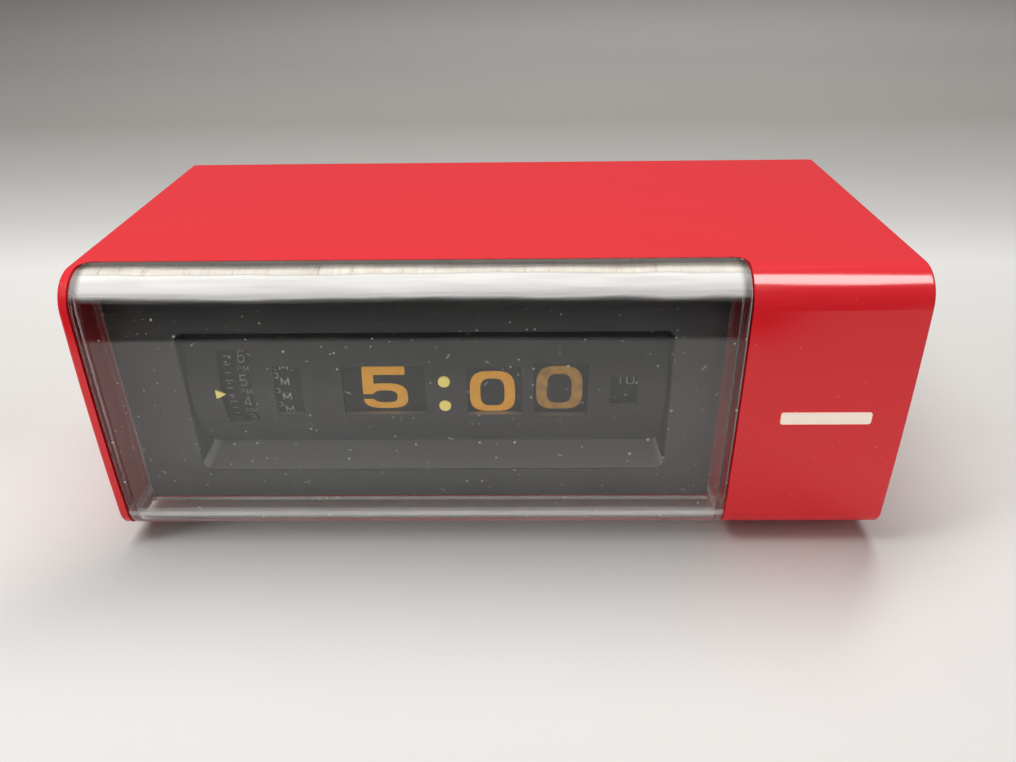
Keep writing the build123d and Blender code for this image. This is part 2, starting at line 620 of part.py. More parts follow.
with BuildPart() as time_set_wheel:
    knurled_wheel(18.0, 24.0)
    gear(24.4, 25.5, 25, 2.0 / 3, Sy, Sz, 180.0 + 180.0 / 25, shaft_r + run)
    disc(24.0, 25.6, Sy, Sz, 3.2, shaft_r + run)
time_set_wheel.part.label = "time_set_wheel"
export_step(time_set_wheel.part, "parts/time_set_wheel.step")

# ------------------------------------------------------------------
# Drive: motor in the right block, one reduction gear, drive shaft
# ------------------------------------------------------------------
with BuildPart() as drive_shaft:
    disc(36.9, 67.4, Dy, Dz, shaft_r)
drive_shaft.part.label = "drive_shaft"
export_step(drive_shaft.part, "parts/drive_shaft.step")

with BuildPart() as drive_pinion:
    gear(37.3, 38.9, 12, 2.0 / 3, Dy, Dz, seconds_rot + 180.0, shaft_r)
    disc(38.9, 39.6, Dy, Dz, 2.4, shaft_r)
drive_pinion.part.label = "drive_pinion"
export_step(drive_pinion.part, "parts/drive_pinion.step")

dg = toward(Dy, Dz, Gy, Gz)
with BuildPart() as drive_gear:
    gear(62.3, 63.5, 44, 0.5, Dy, Dz, dg + 180.0 / 44, shaft_r, thick=0.42)
    disc(63.5, 64.9, Dy, Dz, 1.8, shaft_r)
drive_gear.part.label = "drive_gear"
export_step(drive_gear.part, "parts/drive_gear.step")

with BuildPart() as reduction_gear:
    gear(62.2, 64.2, 10, 0.5, Gy, Gz, dg + 180.0, 0.85, thick=0.42)
    gear(64.2, 65.1, 44, 0.5, Gy, Gz, 90.0 + 180.0 / 44, 0.85, thick=0.42)
reduction_gear.part.label = "reduction_gear"
export_step(reduction_gear.part, "parts/reduction_gear.step")

with BuildPart() as reduction_stud:
    disc(61.6, 67.2, Gy, Gz, 0.8)
reduction_stud.part.label = "reduction_stud"
export_step(reduction_stud.part, "parts/reduction_stud.step")

with BuildPart() as motor_pinion:
    gear(63.8, 65.3, 10, 0.5, My, Mz, -90.0, 0.0, thick=0.42)
    disc(65.3, 68.0, My, Mz, 0.75)
motor_pinion.part.label = "motor_pinion"
export_step(motor_pinion.part, "parts/motor_pinion.step")

with BuildPart() as motor_plate:
    block(65.7, 66.9, -2.0, 30.0, case_z0 + wall, 62.0)
    disc(65, 68, Dy, Dz, shaft_r + run, mode=Mode.SUBTRACT)
    disc(65, 68, Gy, Gz, 0.82, mode=Mode.SUBTRACT)
    disc(65, 68, My, Mz, 1.4, mode=Mode.SUBTRACT)
    disc(65, 68, 24.0, 15.0, 3.0, mode=Mode.SUBTRACT)
    fillet(motor_plate.edges().filter_by(Axis.X).group_by(Axis.Z)[-1], 3.0)
motor_plate.part.label = "motor_plate"
export_step(motor_plate.part, "parts/motor_plate.step")

with BuildPart() as motor_body:
    disc(66.9, 84.0, My, Mz, 9.5)
    fillet(motor_body.faces().sort_by(Axis.X)[-1].edges(), 1.5)
    disc(84.0, 85.2, My, Mz, 3.0)
    disc(66.0, 68.4, My, Mz, 0.9, mode=Mode.SUBTRACT)
motor_body.part.label = "motor_body"
export_step(motor_body.part, "parts/motor_body.step")

# ------------------------------------------------------------------
# Battery and its contacts in the right block
# ------------------------------------------------------------------
bat_x, bat_z, bat_r = 80.5, 23.6, 12.8
with BuildPart() as battery_cell:
    rod_y(bat_x, bat_z, -0.5, 47.0, bat_r)
    fillet(battery_cell.edges().filter_by(GeomType.CIRCLE), 1.0)
    rod_y(bat_x, bat_z, -2.0, -0.4, 3.6)
battery_cell.part.label = "battery_cell"
export_step(battery_cell.part, "parts/battery_cell.step")

with BuildPart() as battery_cradle:
    block(68.4, 92.8, -4.4, 39.9, case_z0 + wall, 20.0)
    rod_y(bat_x, bat_z, -2.9, 47, bat_r + 0.2, mode=Mode.SUBTRACT)
    block(70.0, 91.2, -5.9, -3.0, case_z0 + wall, 34.0)
battery_cradle.part.label = "battery_cradle"
export_step(battery_cradle.part, "parts/battery_cradle.step")

with BuildPart() as battery_contact_plate:
    block(bat_x - 6, bat_x + 6, -2.9, -2.1, bat_z - 6, bat_z + 9)
    fillet(battery_contact_plate.edges().filter_by(Axis.Y), 1.0)
battery_contact_plate.part.label = "battery_contact_plate"
export_step(battery_contact_plate.part, "parts/battery_contact_plate.step")

with BuildPart() as battery_contact_spring:
    with BuildLine() as coil_path:
        Helix(pitch=1.45, height=4.4, radius=4.4, center=(bat_x, 48.15, bat_z), direction=(0, 1, 0))
    with BuildSketch(Plane(origin=coil_path.line @ 0, z_dir=coil_path.line % 0)):
        Circle(0.4)
    sweep(is_frenet=True)
    # tinned plate that the coil stands on, riveted inside the hatch
    block(bat_x - 6.0, bat_x + 6.0, 52.5, 53.0, bat_z - 6.0, bat_z + 6.0)
battery_contact_spring.part.label = "battery_contact_spring"
export_step(battery_contact_spring.part, "parts/battery_contact_spring.step")

# Battery hatch, hinged along its lower edge
with BuildPart() as battery_door:
    block(67.0, 94.4, 53.0, 54.5, 9.9, 38.6)
    fillet(battery_door.edges().filter_by(Axis.Y), 1.2)
    disc(71.3, 89.7, hinge_y, hinge_z, 0.95)
    block(71.3, 89.7, hinge_y - 0.65, hinge_y + 0.5, hinge_z, 10.2)
    block(76.5, 84.5, 51.2, 53.1, 35.9, 37.2)
    # finger grip ribs
    for i in range(4):
        block(72.0, 89.5, 54.4, 54.95, 30.0 + 1.8 * i, 30.8 + 1.8 * i)
    disc(70, 93, hinge_y, hinge_z, 0.45, mode=Mode.SUBTRACT)
battery_door.part.label = "battery_door"
export_step(battery_door.part, "parts/battery_door.step")

with BuildPart() as hatch_pin:
    disc(68.6, 92.4, hinge_y, hinge_z, 0.4)
hatch_pin.part.label = "hatch_pin"
export_step(hatch_pin.part, "parts/hatch_pin.step")

# ------------------------------------------------------------------
# Alarm: stop bar with return springs, slide switch, contacts, sounder
# ------------------------------------------------------------------
with BuildPart() as alarm_stop_bar:
    block(-78.0, -46.0, 43.3, 50.1, 66.2, 73.8)
    fillet(alarm_stop_bar.edges().filter_by(Axis.Z), 1.0)
    fillet(alarm_stop_bar.faces().sort_by(Axis.Z)[-1].edges(), 0.6)
    block(-79.2, -44.8, 42.5, 50.6, 68.8, 70.0)
    block(-76.6, -47.4, 44.6, 48.8, 65.0, 72.2, Mode.SUBTRACT)
alarm_stop_bar.part.label = "alarm_stop_bar"
export_step(alarm_stop_bar.part, "parts/alarm_stop_bar.step")

# two identical return springs, one node
with BuildPart() as stop_bar_springs:
    for sx in (-72.5, -51.5):
        with BuildLine(mode=Mode.PRIVATE) as coil:
            Helix(pitch=1.62, height=8.2, radius=1.45, center=(sx, 46.7, 61.75))
        with BuildSketch(Plane(origin=coil.line @ 0, z_dir=coil.line % 0)) as wire:
            Circle(0.25)
        sweep(sections=wire.sketch, path=coil.line, is_frenet=True)
stop_bar_springs.part.label = "stop_bar_springs"
export_step(stop_bar_springs.part, "parts/stop_bar_springs.step")

with BuildPart() as alarm_switch_body:
    block(-37.5, -19.5, 44.6, 50.3, 58.0, 66.0)
    fillet(alarm_switch_body.edges().filter_by(Axis.Y), 0.8)
    for i in range(3):
        block(-34.0 + 5.5 * i, -33.0 + 5.5 * i, 42.0, 44.7, 64.4, 65.2)
alarm_switch_body.part.label = "alarm_switch_body"
export_step(alarm_switch_body.part, "parts/alarm_switch_body.step")

with BuildPart() as alarm_switch_slider:
    block(-32.8, -29.4, 50.5, 53.4, 60.2, 63.8)
    block(-34.0, -28.2, 53.0, 54.8, 59.0, 65.0)
    fillet(alarm_switch_slider.edges().filter_by(Axis.Y).group_by(Axis.Y)[-1], 0.6)
    for i in range(3):
        block(-32.6 + 1.5 * i, -32.0 + 1.5 * i, 54.5, 56.0, 58.0, 66.0, Mode.SUBTRACT)
alarm_switch_slider.part.label = "alarm_switch_slider"
export_step(alarm_switch_slider.part, "parts/alarm_switch_slider.step")

with BuildPart() as contact_block:
    block(-46.6, -43.9, -2.0, 8.0, 56.0, 70.5)
    disc(-47, -42, pillar_at[1][0], pillar_at[1][1], 2.2, mode=Mode.SUBTRACT)
contact_block.part.label = "contact_block"
export_step(contact_block.part, "parts/contact_block.step")

with BuildPart() as alarm_contacts:
    for zz in (57.2, 59.4, 61.6):
        block(-46.0, -44.4, -16.0, -2.0, zz, zz + 0.3)
        post(-45.2, -15.0, zz - 0.5, zz + 0.01, 0.6)
alarm_contacts.part.label = "alarm_contacts"
export_step(alarm_contacts.part, "parts/alarm_contacts.step")

with BuildPart() as circuit_board:
    block(-60.0, 12.0, 46.4, 48.0, 15.0, 53.0)
    for px in (-57.0, 9.0):
        for pz in (18.0, 50.0):
            rod_y(px, pz, 46, 49, 1.2, mode=Mode.SUBTRACT)
circuit_board.part.label = "circuit_board"
export_step(circuit_board.part, "parts/circuit_board.step")

with BuildPart() as board_components:
    for px, pz, r, h in ((-50, 45, 3.2, 4.0), (-40, 24, 2.6, 3.6), (-4, 45, 2.2, 3.4)):
        rod_y(px, pz, 46.4 - h, 46.4, r)
    for px, pz in ((-30, 44), (-22, 30), (-12, 22), (-45, 34), (2, 30)):
        block(px - 3.2, px + 3.2, 44.4, 46.0, pz - 1.0, pz + 1.0)
        block(px - 4.0, px - 3.6, 45.0, 46.4, pz - 0.2, pz + 0.2)
        block(px + 3.6, px + 4.0, 45.0, 46.4, pz - 0.2, pz + 0.2)
        block(px - 4.0, px + 4.0, 45.0, 45.4, pz - 0.2, pz + 0.2)
board_components.part.label = "board_components"
export_step(board_components.part, "parts/board_components.step")

with BuildPart() as sounder_body:
    rod_y(80.0, 55.6, 42.0, 49.2, 13.4)
    fillet(sounder_body.edges().filter_by(GeomType.CIRCLE), 0.8)
    rod_y(80.0, 55.6, 44.0, 50.0, 12.2, mode=Mode.SUBTRACT)
    rod_y(80.0, 55.6, 43.9, 47.0, 3.0)
sounder_body.part.label = "sounder_body"
export_step(sounder_body.part, "parts/sounder_body.step")

with BuildPart() as sounder_diaphragm:
    rod_y(80.0, 55.6, 48.0, 48.4, 12.1)
sounder_diaphragm.part.label = "sounder_diaphragm"
export_step(sounder_diaphragm.part, "parts/sounder_diaphragm.step")

print(len(os.listdir("parts")), "files")
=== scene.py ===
import math
import random

import bpy
import bmesh
import numpy as np
from mathutils import Matrix, Vector


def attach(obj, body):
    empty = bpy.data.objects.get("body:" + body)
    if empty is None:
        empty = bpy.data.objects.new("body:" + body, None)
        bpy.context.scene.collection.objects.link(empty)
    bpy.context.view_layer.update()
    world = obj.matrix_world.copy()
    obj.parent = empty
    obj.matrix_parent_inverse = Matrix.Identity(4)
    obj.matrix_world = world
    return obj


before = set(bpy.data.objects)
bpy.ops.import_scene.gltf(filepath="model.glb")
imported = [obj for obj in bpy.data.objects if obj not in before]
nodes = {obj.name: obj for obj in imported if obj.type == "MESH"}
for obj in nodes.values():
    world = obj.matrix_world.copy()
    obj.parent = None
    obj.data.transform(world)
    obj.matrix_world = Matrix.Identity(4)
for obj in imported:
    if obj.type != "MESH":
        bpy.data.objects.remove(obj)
scene = bpy.context.scene


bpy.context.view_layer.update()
MM = 0.001

# ------------------------------------------------------------------
# Camera
# ------------------------------------------------------------------
cam_data = bpy.data.cameras.new("camera")
cam = bpy.data.objects.new("camera", cam_data)
scene.collection.objects.link(cam)
right = Vector((0.99982, 0.01326, -0.01311))
down = Vector((-0.00470, -0.50137, -0.86522))
ahead = Vector((-0.01805, 0.86512, -0.50122))
cam.matrix_world = Matrix((
    (right.x, -down.x, -ahead.x, 0.006844),
    (right.y, -down.y, -ahead.y, -0.224358),
    (right.z, -down.z, -ahead.z, 0.148342),
    (0, 0, 0, 1)))
cam_data.sensor_fit = "HORIZONTAL"
cam_data.sensor_width = 36.0
cam_data.lens = 29.232
cam_data.clip_start = 0.01
scene.camera = cam
scene.view_settings.view_transform = "Standard"
scene.view_settings.look = "None"


# ------------------------------------------------------------------
# Node helpers
# ------------------------------------------------------------------
class NT:
    def __init__(self, name):
        self.mat = bpy.data.materials.new(name)
        self.mat.use_nodes = True
        self.t = self.mat.node_tree
        self.t.nodes.clear()
        self.out = self.n("ShaderNodeOutputMaterial")
        self.co = self.n("ShaderNodeTexCoord").outputs["Object"]

    def n(self, kind, **props):
        node = self.t.nodes.new(kind)
        for k, v in props.items():
            setattr(node, k, v)
        return node

    def link(self, a, b):
        self.t.links.new(a, b)

    def noise(self, scale, detail=3.0, rough=0.55, stretch=None, distortion=0.0):
        node = self.n("ShaderNodeTexNoise")
        node.inputs["Scale"].default_value = scale
        node.inputs["Detail"].default_value = detail
        node.inputs["Roughness"].default_value = rough
        node.inputs["Distortion"].default_value = distortion
        src = self.co
        if stretch:
            m = self.n("ShaderNodeMapping")
            m.inputs["Scale"].default_value = stretch
            self.link(src, m.inputs["Vector"])
            src = m.outputs["Vector"]
        self.link(src, node.inputs["Vector"])
        return node.outputs["Fac"]

    def voronoi(self, scale, feature="F1", randomness=1.0, stretch=None):
        node = self.n("ShaderNodeTexVoronoi")
        node.feature = feature
        node.inputs["Scale"].default_value = scale
        node.inputs["Randomness"].default_value = randomness
        src = self.co
        if stretch:
            m = self.n("ShaderNodeMapping")
            m.inputs["Scale"].default_value = stretch[:3]
            if len(stretch) > 3:
                m.inputs["Rotation"].default_value = (0, stretch[3], 0)
            self.link(src, m.inputs["Vector"])
            src = m.outputs["Vector"]
        self.link(src, node.inputs["Vector"])
        return node

    def ramp(self, fac, *stops):
        node = self.n("ShaderNodeValToRGB")
        e = node.color_ramp.elements
        while len(e) < len(stops):
            e.new(0.5)
        for el, (p, c) in zip(e, stops):
            el.position = p
            el.color = (c, c, c, 1) if isinstance(c, (int, float)) else (*c, 1)
        self.link(fac, node.inputs["Fac"])
        return node.outputs["Color"]

    def math(self, op, a, b=None, clamp=False):
        node = self.n("ShaderNodeMath", operation=op, use_clamp=clamp)
        for i, v in enumerate((a, b)):
            if v is None:
                continue
            if isinstance(v, (int, float)):
                node.inputs[i].default_value = v
            else:
                self.link(v, node.inputs[i])
        return node.outputs[0]

    def mix(self, fac, a, b, kind="MIX"):
        node = self.n("ShaderNodeMix", data_type="RGBA", blend_type=kind)
        for sock, v in ((node.inputs["Factor"], fac), (node.inputs["A"], a), (node.inputs["B"], b)):
            if isinstance(v, (int, float)):
                sock.default_value = v
            elif isinstance(v, (tuple, list)):
                sock.default_value = (*v[:3], 1)
            else:
                self.link(v, sock)
        return node.outputs["Result"]

    def bump(self, height, strength, distance, prev=None):
        node = self.n("ShaderNodeBump")
        node.inputs["Strength"].default_value = strength
        node.inputs["Distance"].default_value = distance
        self.link(height, node.inputs["Height"])
        if prev is not None:
            self.link(prev, node.inputs["Normal"])
        return node.outputs["Normal"]

    def specks(self, scale, size, keep):
        """Round specks: scattered cell centres, only a share of the cells."""
        v = self.voronoi(scale)
        near = self.math("LESS_THAN", v.outputs["Distance"], size)
        sep = self.n("ShaderNodeSeparateColor")
        self.link(v.outputs["Color"], sep.inputs["Color"])
        some = self.math("LESS_THAN", sep.outputs[0], keep)
        return self.math("MULTIPLY", near, some)

    def hairs(self, scale, stretch, width, keep):
        """Short straight hairline marks along one direction."""
        v = self.voronoi(scale, stretch=stretch)
        near = self.math("LESS_THAN", v.outputs["Distance"], width)
        sep = self.n("ShaderNodeSeparateColor")
        self.link(v.outputs["Color"], sep.inputs["Color"])
        some = self.math("LESS_THAN", sep.outputs[1], keep)
        return self.math("MULTIPLY", near, some)

    def flecks(self, scale, size, keep, axes=(0, 2), turn=0.0, squash=1.0):
        """Scattered flecks on a face square to the third axis; squash makes them hairlines."""
        s = self.n("ShaderNodeSeparateXYZ")
        self.link(self.co, s.inputs[0])
        c = self.n("ShaderNodeCombineXYZ")
        self.link(s.outputs[axes[0]], c.inputs[0])
        self.link(s.outputs[axes[1]], c.inputs[1])
        m = self.n("ShaderNodeMapping")
        m.inputs["Rotation"].default_value = (0, 0, turn)
        self.link(c.outputs[0], m.inputs["Vector"])
        m2 = self.n("ShaderNodeMapping")
        m2.inputs["Scale"].default_value = (1.0, squash, 1.0)
        self.link(m.outputs["Vector"], m2.inputs["Vector"])
        v = self.n("ShaderNodeTexVoronoi", voronoi_dimensions="2D", feature="F1")
        v.inputs["Scale"].default_value = scale
        self.link(m2.outputs["Vector"], v.inputs["Vector"])
        sep = self.n("ShaderNodeSeparateColor")
        self.link(v.outputs["Color"], sep.inputs["Color"])
        near = self.math("LESS_THAN", v.outputs["Distance"], self.math("MULTIPLY", sep.outputs[1], size))
        return self.math("MULTIPLY", near, self.math("LESS_THAN", sep.outputs[0], keep))

    def edges(self, radius):
        """1 on sharp edges, 0 on flats."""
        b = self.n("ShaderNodeBevel", samples=4)
        b.inputs["Radius"].default_value = radius
        g = self.n("ShaderNodeNewGeometry")
        d = self.n("ShaderNodeVectorMath", operation="DOT_PRODUCT")
        self.link(b.outputs["Normal"], d.inputs[0])
        self.link(g.outputs["Normal"], d.inputs[1])
        return self.math("SUBTRACT", 1.0, d.outputs["Value"], clamp=True)


def principled(nt, color, rough, normal=None, **k):
    p = nt.n("ShaderNodeBsdfPrincipled")
    for sock, v in (("Base Color", color), ("Roughness", rough)):
        if isinstance(v, (int, float)):
            p.inputs[sock].default_value = v
        elif isinstance(v, (tuple, list)):
            p.inputs[sock].default_value = (*v[:3], 1)
        else:
            nt.link(v, p.inputs[sock])
    for key, v in k.items():
        p.inputs[key.replace("_", " ")].default_value = v
    if normal is not None:
        nt.link(normal, p.inputs["Normal"])
    return p


def moulded(name, color, rough, grain=2600.0, grain_amt=0.12, grain_depth=0.00004, mottle=0.12,
            dust=0.0, dust_color=(0.55, 0.53, 0.5), wear=0.0, wear_color=(0.3, 0.3, 0.3), **k):
    """Moulded plastic: faint mottling, surface grain, dust in specks, lighter worn edges."""
    nt = NT(name)
    big = nt.noise(34.0, 4.0)
    var = nt.ramp(big, (0.3, 1.0 - mottle), (0.7, 1.0 + 0 * mottle))
    col = nt.mix(1.0, color, var, "MULTIPLY")
    if dust:
        s = nt.specks(420.0, 0.11, dust)
        s2 = nt.specks(1100.0, 0.13, dust)
        col = nt.mix(nt.math("MULTIPLY", nt.math("MAXIMUM", s, s2), 0.55), col, dust_color)
    if wear:
        e = nt.math("MULTIPLY", nt.edges(0.00045), wear * 4.0, clamp=True)
        e = nt.math("MULTIPLY", e, nt.ramp(nt.noise(210.0, 3.0), (0.42, 0.0), (0.62, 1.0)))
        col = nt.mix(e, col, wear_color)
    r = nt.ramp(nt.noise(90.0, 5.0), (0.25, max(0.02, rough - 0.07)), (0.8, min(1.0, rough + 0.09)))
    nrm = nt.bump(nt.noise(grain, 2.0, 0.6), grain_amt, grain_depth)
    p = principled(nt, col, r, nrm, **k)
    nt.link(p.outputs[0], nt.out.inputs["Surface"])
    return nt.mat


def metal(name, color, rough, brushed=(1, 1, 1), tarnish=0.25, **k):
    nt = NT(name)
    t = nt.noise(160.0, 5.0)
    col = nt.mix(nt.ramp(t, (0.35, 0.0), (0.75, tarnish)), color, tuple(c * 0.45 for c in color))
    r = nt.ramp(nt.noise(700.0, 2.0, stretch=brushed), (0.3, max(0.05, rough - 0.12)), (0.7, rough + 0.12))
    nrm = nt.bump(nt.noise(1500.0, 2.0, stretch=brushed), 0.12, 0.00003)
    p = principled(nt, col, r, nrm, Metallic=1.0, **k)
    nt.link(p.outputs[0], nt.out.inputs["Surface"])
    return nt.mat


# ------------------------------------------------------------------
# Materials
# ------------------------------------------------------------------
def red_case_material():
    nt = NT("red_case")
    big = nt.noise(16.0, 4.0)
    base = nt.ramp(big, (0.3, (0.80, 0.0070, 0.0145)), (0.7, (0.86, 0.0080, 0.0165)))
    # light scuffs, pale dust and a few hairline marks
    dust = nt.specks(330.0, 0.05, 0.16)
    dust2 = nt.specks(900.0, 0.07, 0.10)
    d = nt.math("MAXIMUM", dust, dust2)
    base = nt.mix(nt.math("MULTIPLY", d, 0.45), base, (0.85, 0.45, 0.42))
    fl = nt.math("MAXIMUM", nt.flecks(240.0, 0.05, 0.12), nt.flecks(34.0, 0.014, 0.40, turn=0.4, squash=9.0))
    fl = nt.math("MAXIMUM", fl, nt.flecks(38.0, 0.012, 0.35, turn=-0.6, squash=9.0))
    pos = nt.n("ShaderNodeSeparateXYZ")
    nt.link(nt.co, pos.inputs[0])
    fl = nt.math("MULTIPLY", fl, nt.math("LESS_THAN", pos.outputs[1], -0.0535))
    base = nt.mix(nt.math("MULTIPLY", fl, 0.30), base, (0.85, 0.40, 0.37))
    scr = nt.hairs(95.0, (0.35, 0.9, 14.0, 0.9), 0.045, 0.10)
    scr2 = nt.hairs(120.0, (9.0, 1.0, 0.6, 0.35), 0.04, 0.06)
    s = nt.math("MAXIMUM", scr, scr2)
    base = nt.mix(nt.math("MULTIPLY", s, 0.3), base, (0.86, 0.30, 0.27))
    e = nt.math("MULTIPLY", nt.edges(0.0006), 1.8, clamp=True)
    e = nt.math("MULTIPLY", e, nt.ramp(nt.noise(150.0, 4.0), (0.46, 0.0), (0.66, 0.55)))
    base = nt.mix(e, base, (0.78, 0.16, 0.15))
    # the top is painted paler, fading out over the rounded front edge: painted sheen standing in for the reflection of
    # the lamp above
    film = nt.math("MULTIPLY", nt.math("SUBTRACT", pos.outputs[2], 0.066), 100.0, clamp=True)
    base = nt.mix(nt.math("MULTIPLY", film, 0.95), base, (0.75, 0.036, 0.046))
    r = nt.ramp(nt.noise(48.0, 5.0), (0.25, 0.13), (0.8, 0.19))
    r = nt.math("ADD", r, nt.math("MULTIPLY", s, 0.25))
    nrm = nt.bump(nt.noise(3200.0, 2.0, 0.6), 0.05, 0.00003)
    nrm = nt.bump(nt.noise(60.0, 2.0), 0.02, 0.0004, nrm)
    p = principled(nt, base, r, nrm)
    p.inputs["Specular IOR Level"].default_value = 0.55
    nt.link(p.outputs[0], nt.out.inputs["Surface"])
    return nt.mat


def lens_material():
    nt = NT("clear_lens")
    r = nt.ramp(nt.noise(40.0, 4.0), (0.3, 0.012), (0.8, 0.035))
    nrm = nt.bump(nt.noise(22.0, 2.0), 0.05, 0.0006)
    g = nt.n("ShaderNodeBsdfPrincipled")
    g.inputs["Base Color"].default_value = (0.985, 0.985, 0.98, 1)
    g.inputs["Transmission Weight"].default_value = 1.0
    g.inputs["IOR"].default_value = 1.49
    g.inputs["Specular IOR Level"].default_value = 0.2
    nt.link(r, g.inputs["Roughness"])
    nt.link(nrm, g.inputs["Normal"])
    # dust and hairline scratches that catch the light
    d = nt.math("MAXIMUM", nt.specks(260.0, 0.05, 0.22), nt.specks(620.0, 0.055, 0.14))
    d = nt.math("MAXIMUM", d, nt.specks(1500.0, 0.09, 0.06))
    s = nt.math("MAXIMUM", nt.hairs(110.0, (0.8, 1.0, 16.0, 0.75), 0.045, 0.07),
                nt.hairs(80.0, (12.0, 1.0, 0.5, 0.5), 0.035, 0.05))
    film = nt.ramp(nt.noise(26.0, 5.0), (0.5, 0.0), (0.9, 0.012))
    f = nt.math("MAXIMUM", nt.flecks(240.0, 0.085, 0.26), nt.flecks(520.0, 0.13, 0.11))
    f = nt.math("MAXIMUM", f, nt.flecks(34.0, 0.030, 0.35, turn=0.5, squash=6.0))
    f = nt.math("MAXIMUM", f, nt.flecks(30.0, 0.028, 0.30, turn=-0.9, squash=6.0))
    pos = nt.n("ShaderNodeSeparateXYZ")
    nt.link(nt.co, pos.inputs[0])
    outer = nt.math("LESS_THAN", pos.outputs[1], -0.0538)
    d = nt.math("MAXIMUM", nt.math("MULTIPLY", d, outer), nt.math("MULTIPLY", f, outer))
    fac = nt.math("ADD", nt.math("MULTIPLY", nt.math("MAXIMUM", d, s), 0.5), film, clamp=True)
    dust = nt.n("ShaderNodeBsdfDiffuse")
    dust.inputs["Color"].default_value = (0.8, 0.79, 0.76, 1)
    # painted highlight: the rounded brow and the lower rim are painted near-white with a diffuse shader, standing in
    # for the bright reflection of the lamps above
    sep = nt.n("ShaderNodeSeparateXYZ")
    nt.link(nt.co, sep.inputs[0])
    ang = nt.n("ShaderNodeMath", operation="ARCTAN2")
    nt.link(nt.math("SUBTRACT", -0.04495, sep.outputs[1]), ang.inputs[0])
    nt.link(nt.math("SUBTRACT", sep.outputs[2], 0.067), ang.inputs[1])
    turn = nt.math("MULTIPLY", ang.outputs[0], 1 / math.pi)           # 0 top .. 0.5 front
    streak = nt.noise(140.0, 4.0, stretch=(0.16, 1.0, 1.6))
    turn = nt.math("ADD", turn, nt.math("MULTIPLY", nt.math("SUBTRACT", streak, 0.5), 0.12))
    brow_highlight = nt.ramp(turn, (0.0, 0.10), (0.045, 0.30), (0.085, 0.85), (0.125, 0.88), (0.137, 0.62), (0.15, 0.90), (0.23, 0.90),
                   (0.30, 0.84), (0.325, 0.68), (0.345, 0.70), (0.372, 0.10), (0.40, 0.0))
    grain = nt.ramp(nt.noise(420.0, 4.0, stretch=(0.08, 1.0, 1.3)), (0.30, 0.80), (0.62, 1.0))
    above = nt.math("GREATER_THAN", sep.outputs[2], 0.060)
    brow_highlight = nt.math("MULTIPLY", nt.math("MULTIPLY", brow_highlight, grain), above)
    off = nt.math("ABSOLUTE", nt.math("ADD", sep.outputs[0], 0.01925))
    brow_highlight = nt.math("MULTIPLY", brow_highlight, nt.ramp(nt.math("MULTIPLY", off, 10.0), (0.755, 1.0), (0.768, 0.35)))
    drop = nt.math("MULTIPLY", nt.math("SUBTRACT", 0.0125, sep.outputs[2]), 125.0, clamp=True)
    low = nt.ramp(drop, (0.0, 0.0), (0.14, 0.12), (0.22, 0.55), (0.34, 0.58), (0.44, 0.14), (0.62, 0.22), (0.85, 0.08),
                  (1.0, 0.03))
    low = nt.math("MULTIPLY", low, nt.ramp(nt.noise(300.0, 4.0, stretch=(0.12, 1.0, 1.3)), (0.3, 0.55), (0.7, 1.0)))
    rear = nt.math("LESS_THAN", turn, 0.137)
    glue = nt.ramp(nt.noise(620.0, 4.0, 0.7, stretch=(1.0, 0.12, 0.12)), (0.28, (0.42, 0.33, 0.26)),
                   (0.40, (0.84, 0.77, 0.68)), (0.65, (0.95, 0.91, 0.84)))
    # the diffuse shader is cream glue over the rear of the brow and painted white highlight over the rest
    scatter = nt.n("ShaderNodeBsdfDiffuse")
    nt.link(nt.mix(rear, (0.95, 0.94, 0.925), glue), scatter.inputs["Color"])
    # the ends of the lens are painted red: a painted reflection of the red case they touch
    ends = nt.math("GREATER_THAN", off, 0.07815)
    ends = nt.math("MULTIPLY", ends, nt.math("GREATER_THAN", sep.outputs[1], -0.0525))
    ends = nt.math("MULTIPLY", ends, 0.75)
    redden = nt.n("ShaderNodeBsdfDiffuse")
    nt.link(nt.ramp(nt.noise(70.0, 3.0, stretch=(1.0, 1.0, 0.3)), (0.3, (0.75, 0.02, 0.035)), (0.7, (0.90, 0.04, 0.06))),
            redden.inputs["Color"])
    me_ = nt.n("ShaderNodeMixShader")
    nt.link(ends, me_.inputs[0])
    nt.link(g.outputs[0], me_.inputs[1])
    nt.link(redden.outputs[0], me_.inputs[2])
    m0 = nt.n("ShaderNodeMixShader")
    nt.link(nt.math("MAXIMUM", brow_highlight, low), m0.inputs[0])
    nt.link(me_.outputs[0], m0.inputs[1])
    nt.link(scatter.outputs[0], m0.inputs[2])
    m = nt.n("ShaderNodeMixShader")
    nt.link(fac, m.inputs[0])
    nt.link(m0.outputs[0], m.inputs[1])
    nt.link(dust.outputs[0], m.inputs[2])
    # lamps shine through the clear plastic
    lp = nt.n("ShaderNodeLightPath")
    tr = nt.n("ShaderNodeBsdfTransparent")
    capped = nt.math("GREATER_THAN", sep.outputs[2], 0.062)
    block = nt.math("MULTIPLY", nt.math("MAXIMUM", capped, low), 0.88)
    nt.link(nt.math("SUBTRACT", 0.93, block, clamp=True), tr.inputs["Color"])
    m2 = nt.n("ShaderNodeMixShader")
    nt.link(lp.outputs["Is Shadow Ray"], m2.inputs[0])
    nt.link(m.outputs[0], m2.inputs[1])
    nt.link(tr.outputs[0], m2.inputs[2])
    nt.link(m2.outputs[0], nt.out.inputs["Surface"])
    return nt.mat


def seal_material():
    nt = NT("pale_seal")
    streak = nt.noise(900.0, 4.0, stretch=(1.0, 0.2, 0.12))
    col = nt.ramp(streak, (0.30, (0.25, 0.20, 0.16)), (0.42, (0.66, 0.60, 0.52)), (0.7, (0.9, 0.87, 0.8)))
    nrm = nt.bump(streak, 0.5, 0.0003)
    p = principled(nt, col, 0.75, nrm)
    nt.link(p.outputs[0], nt.out.inputs["Surface"])
    return nt.mat


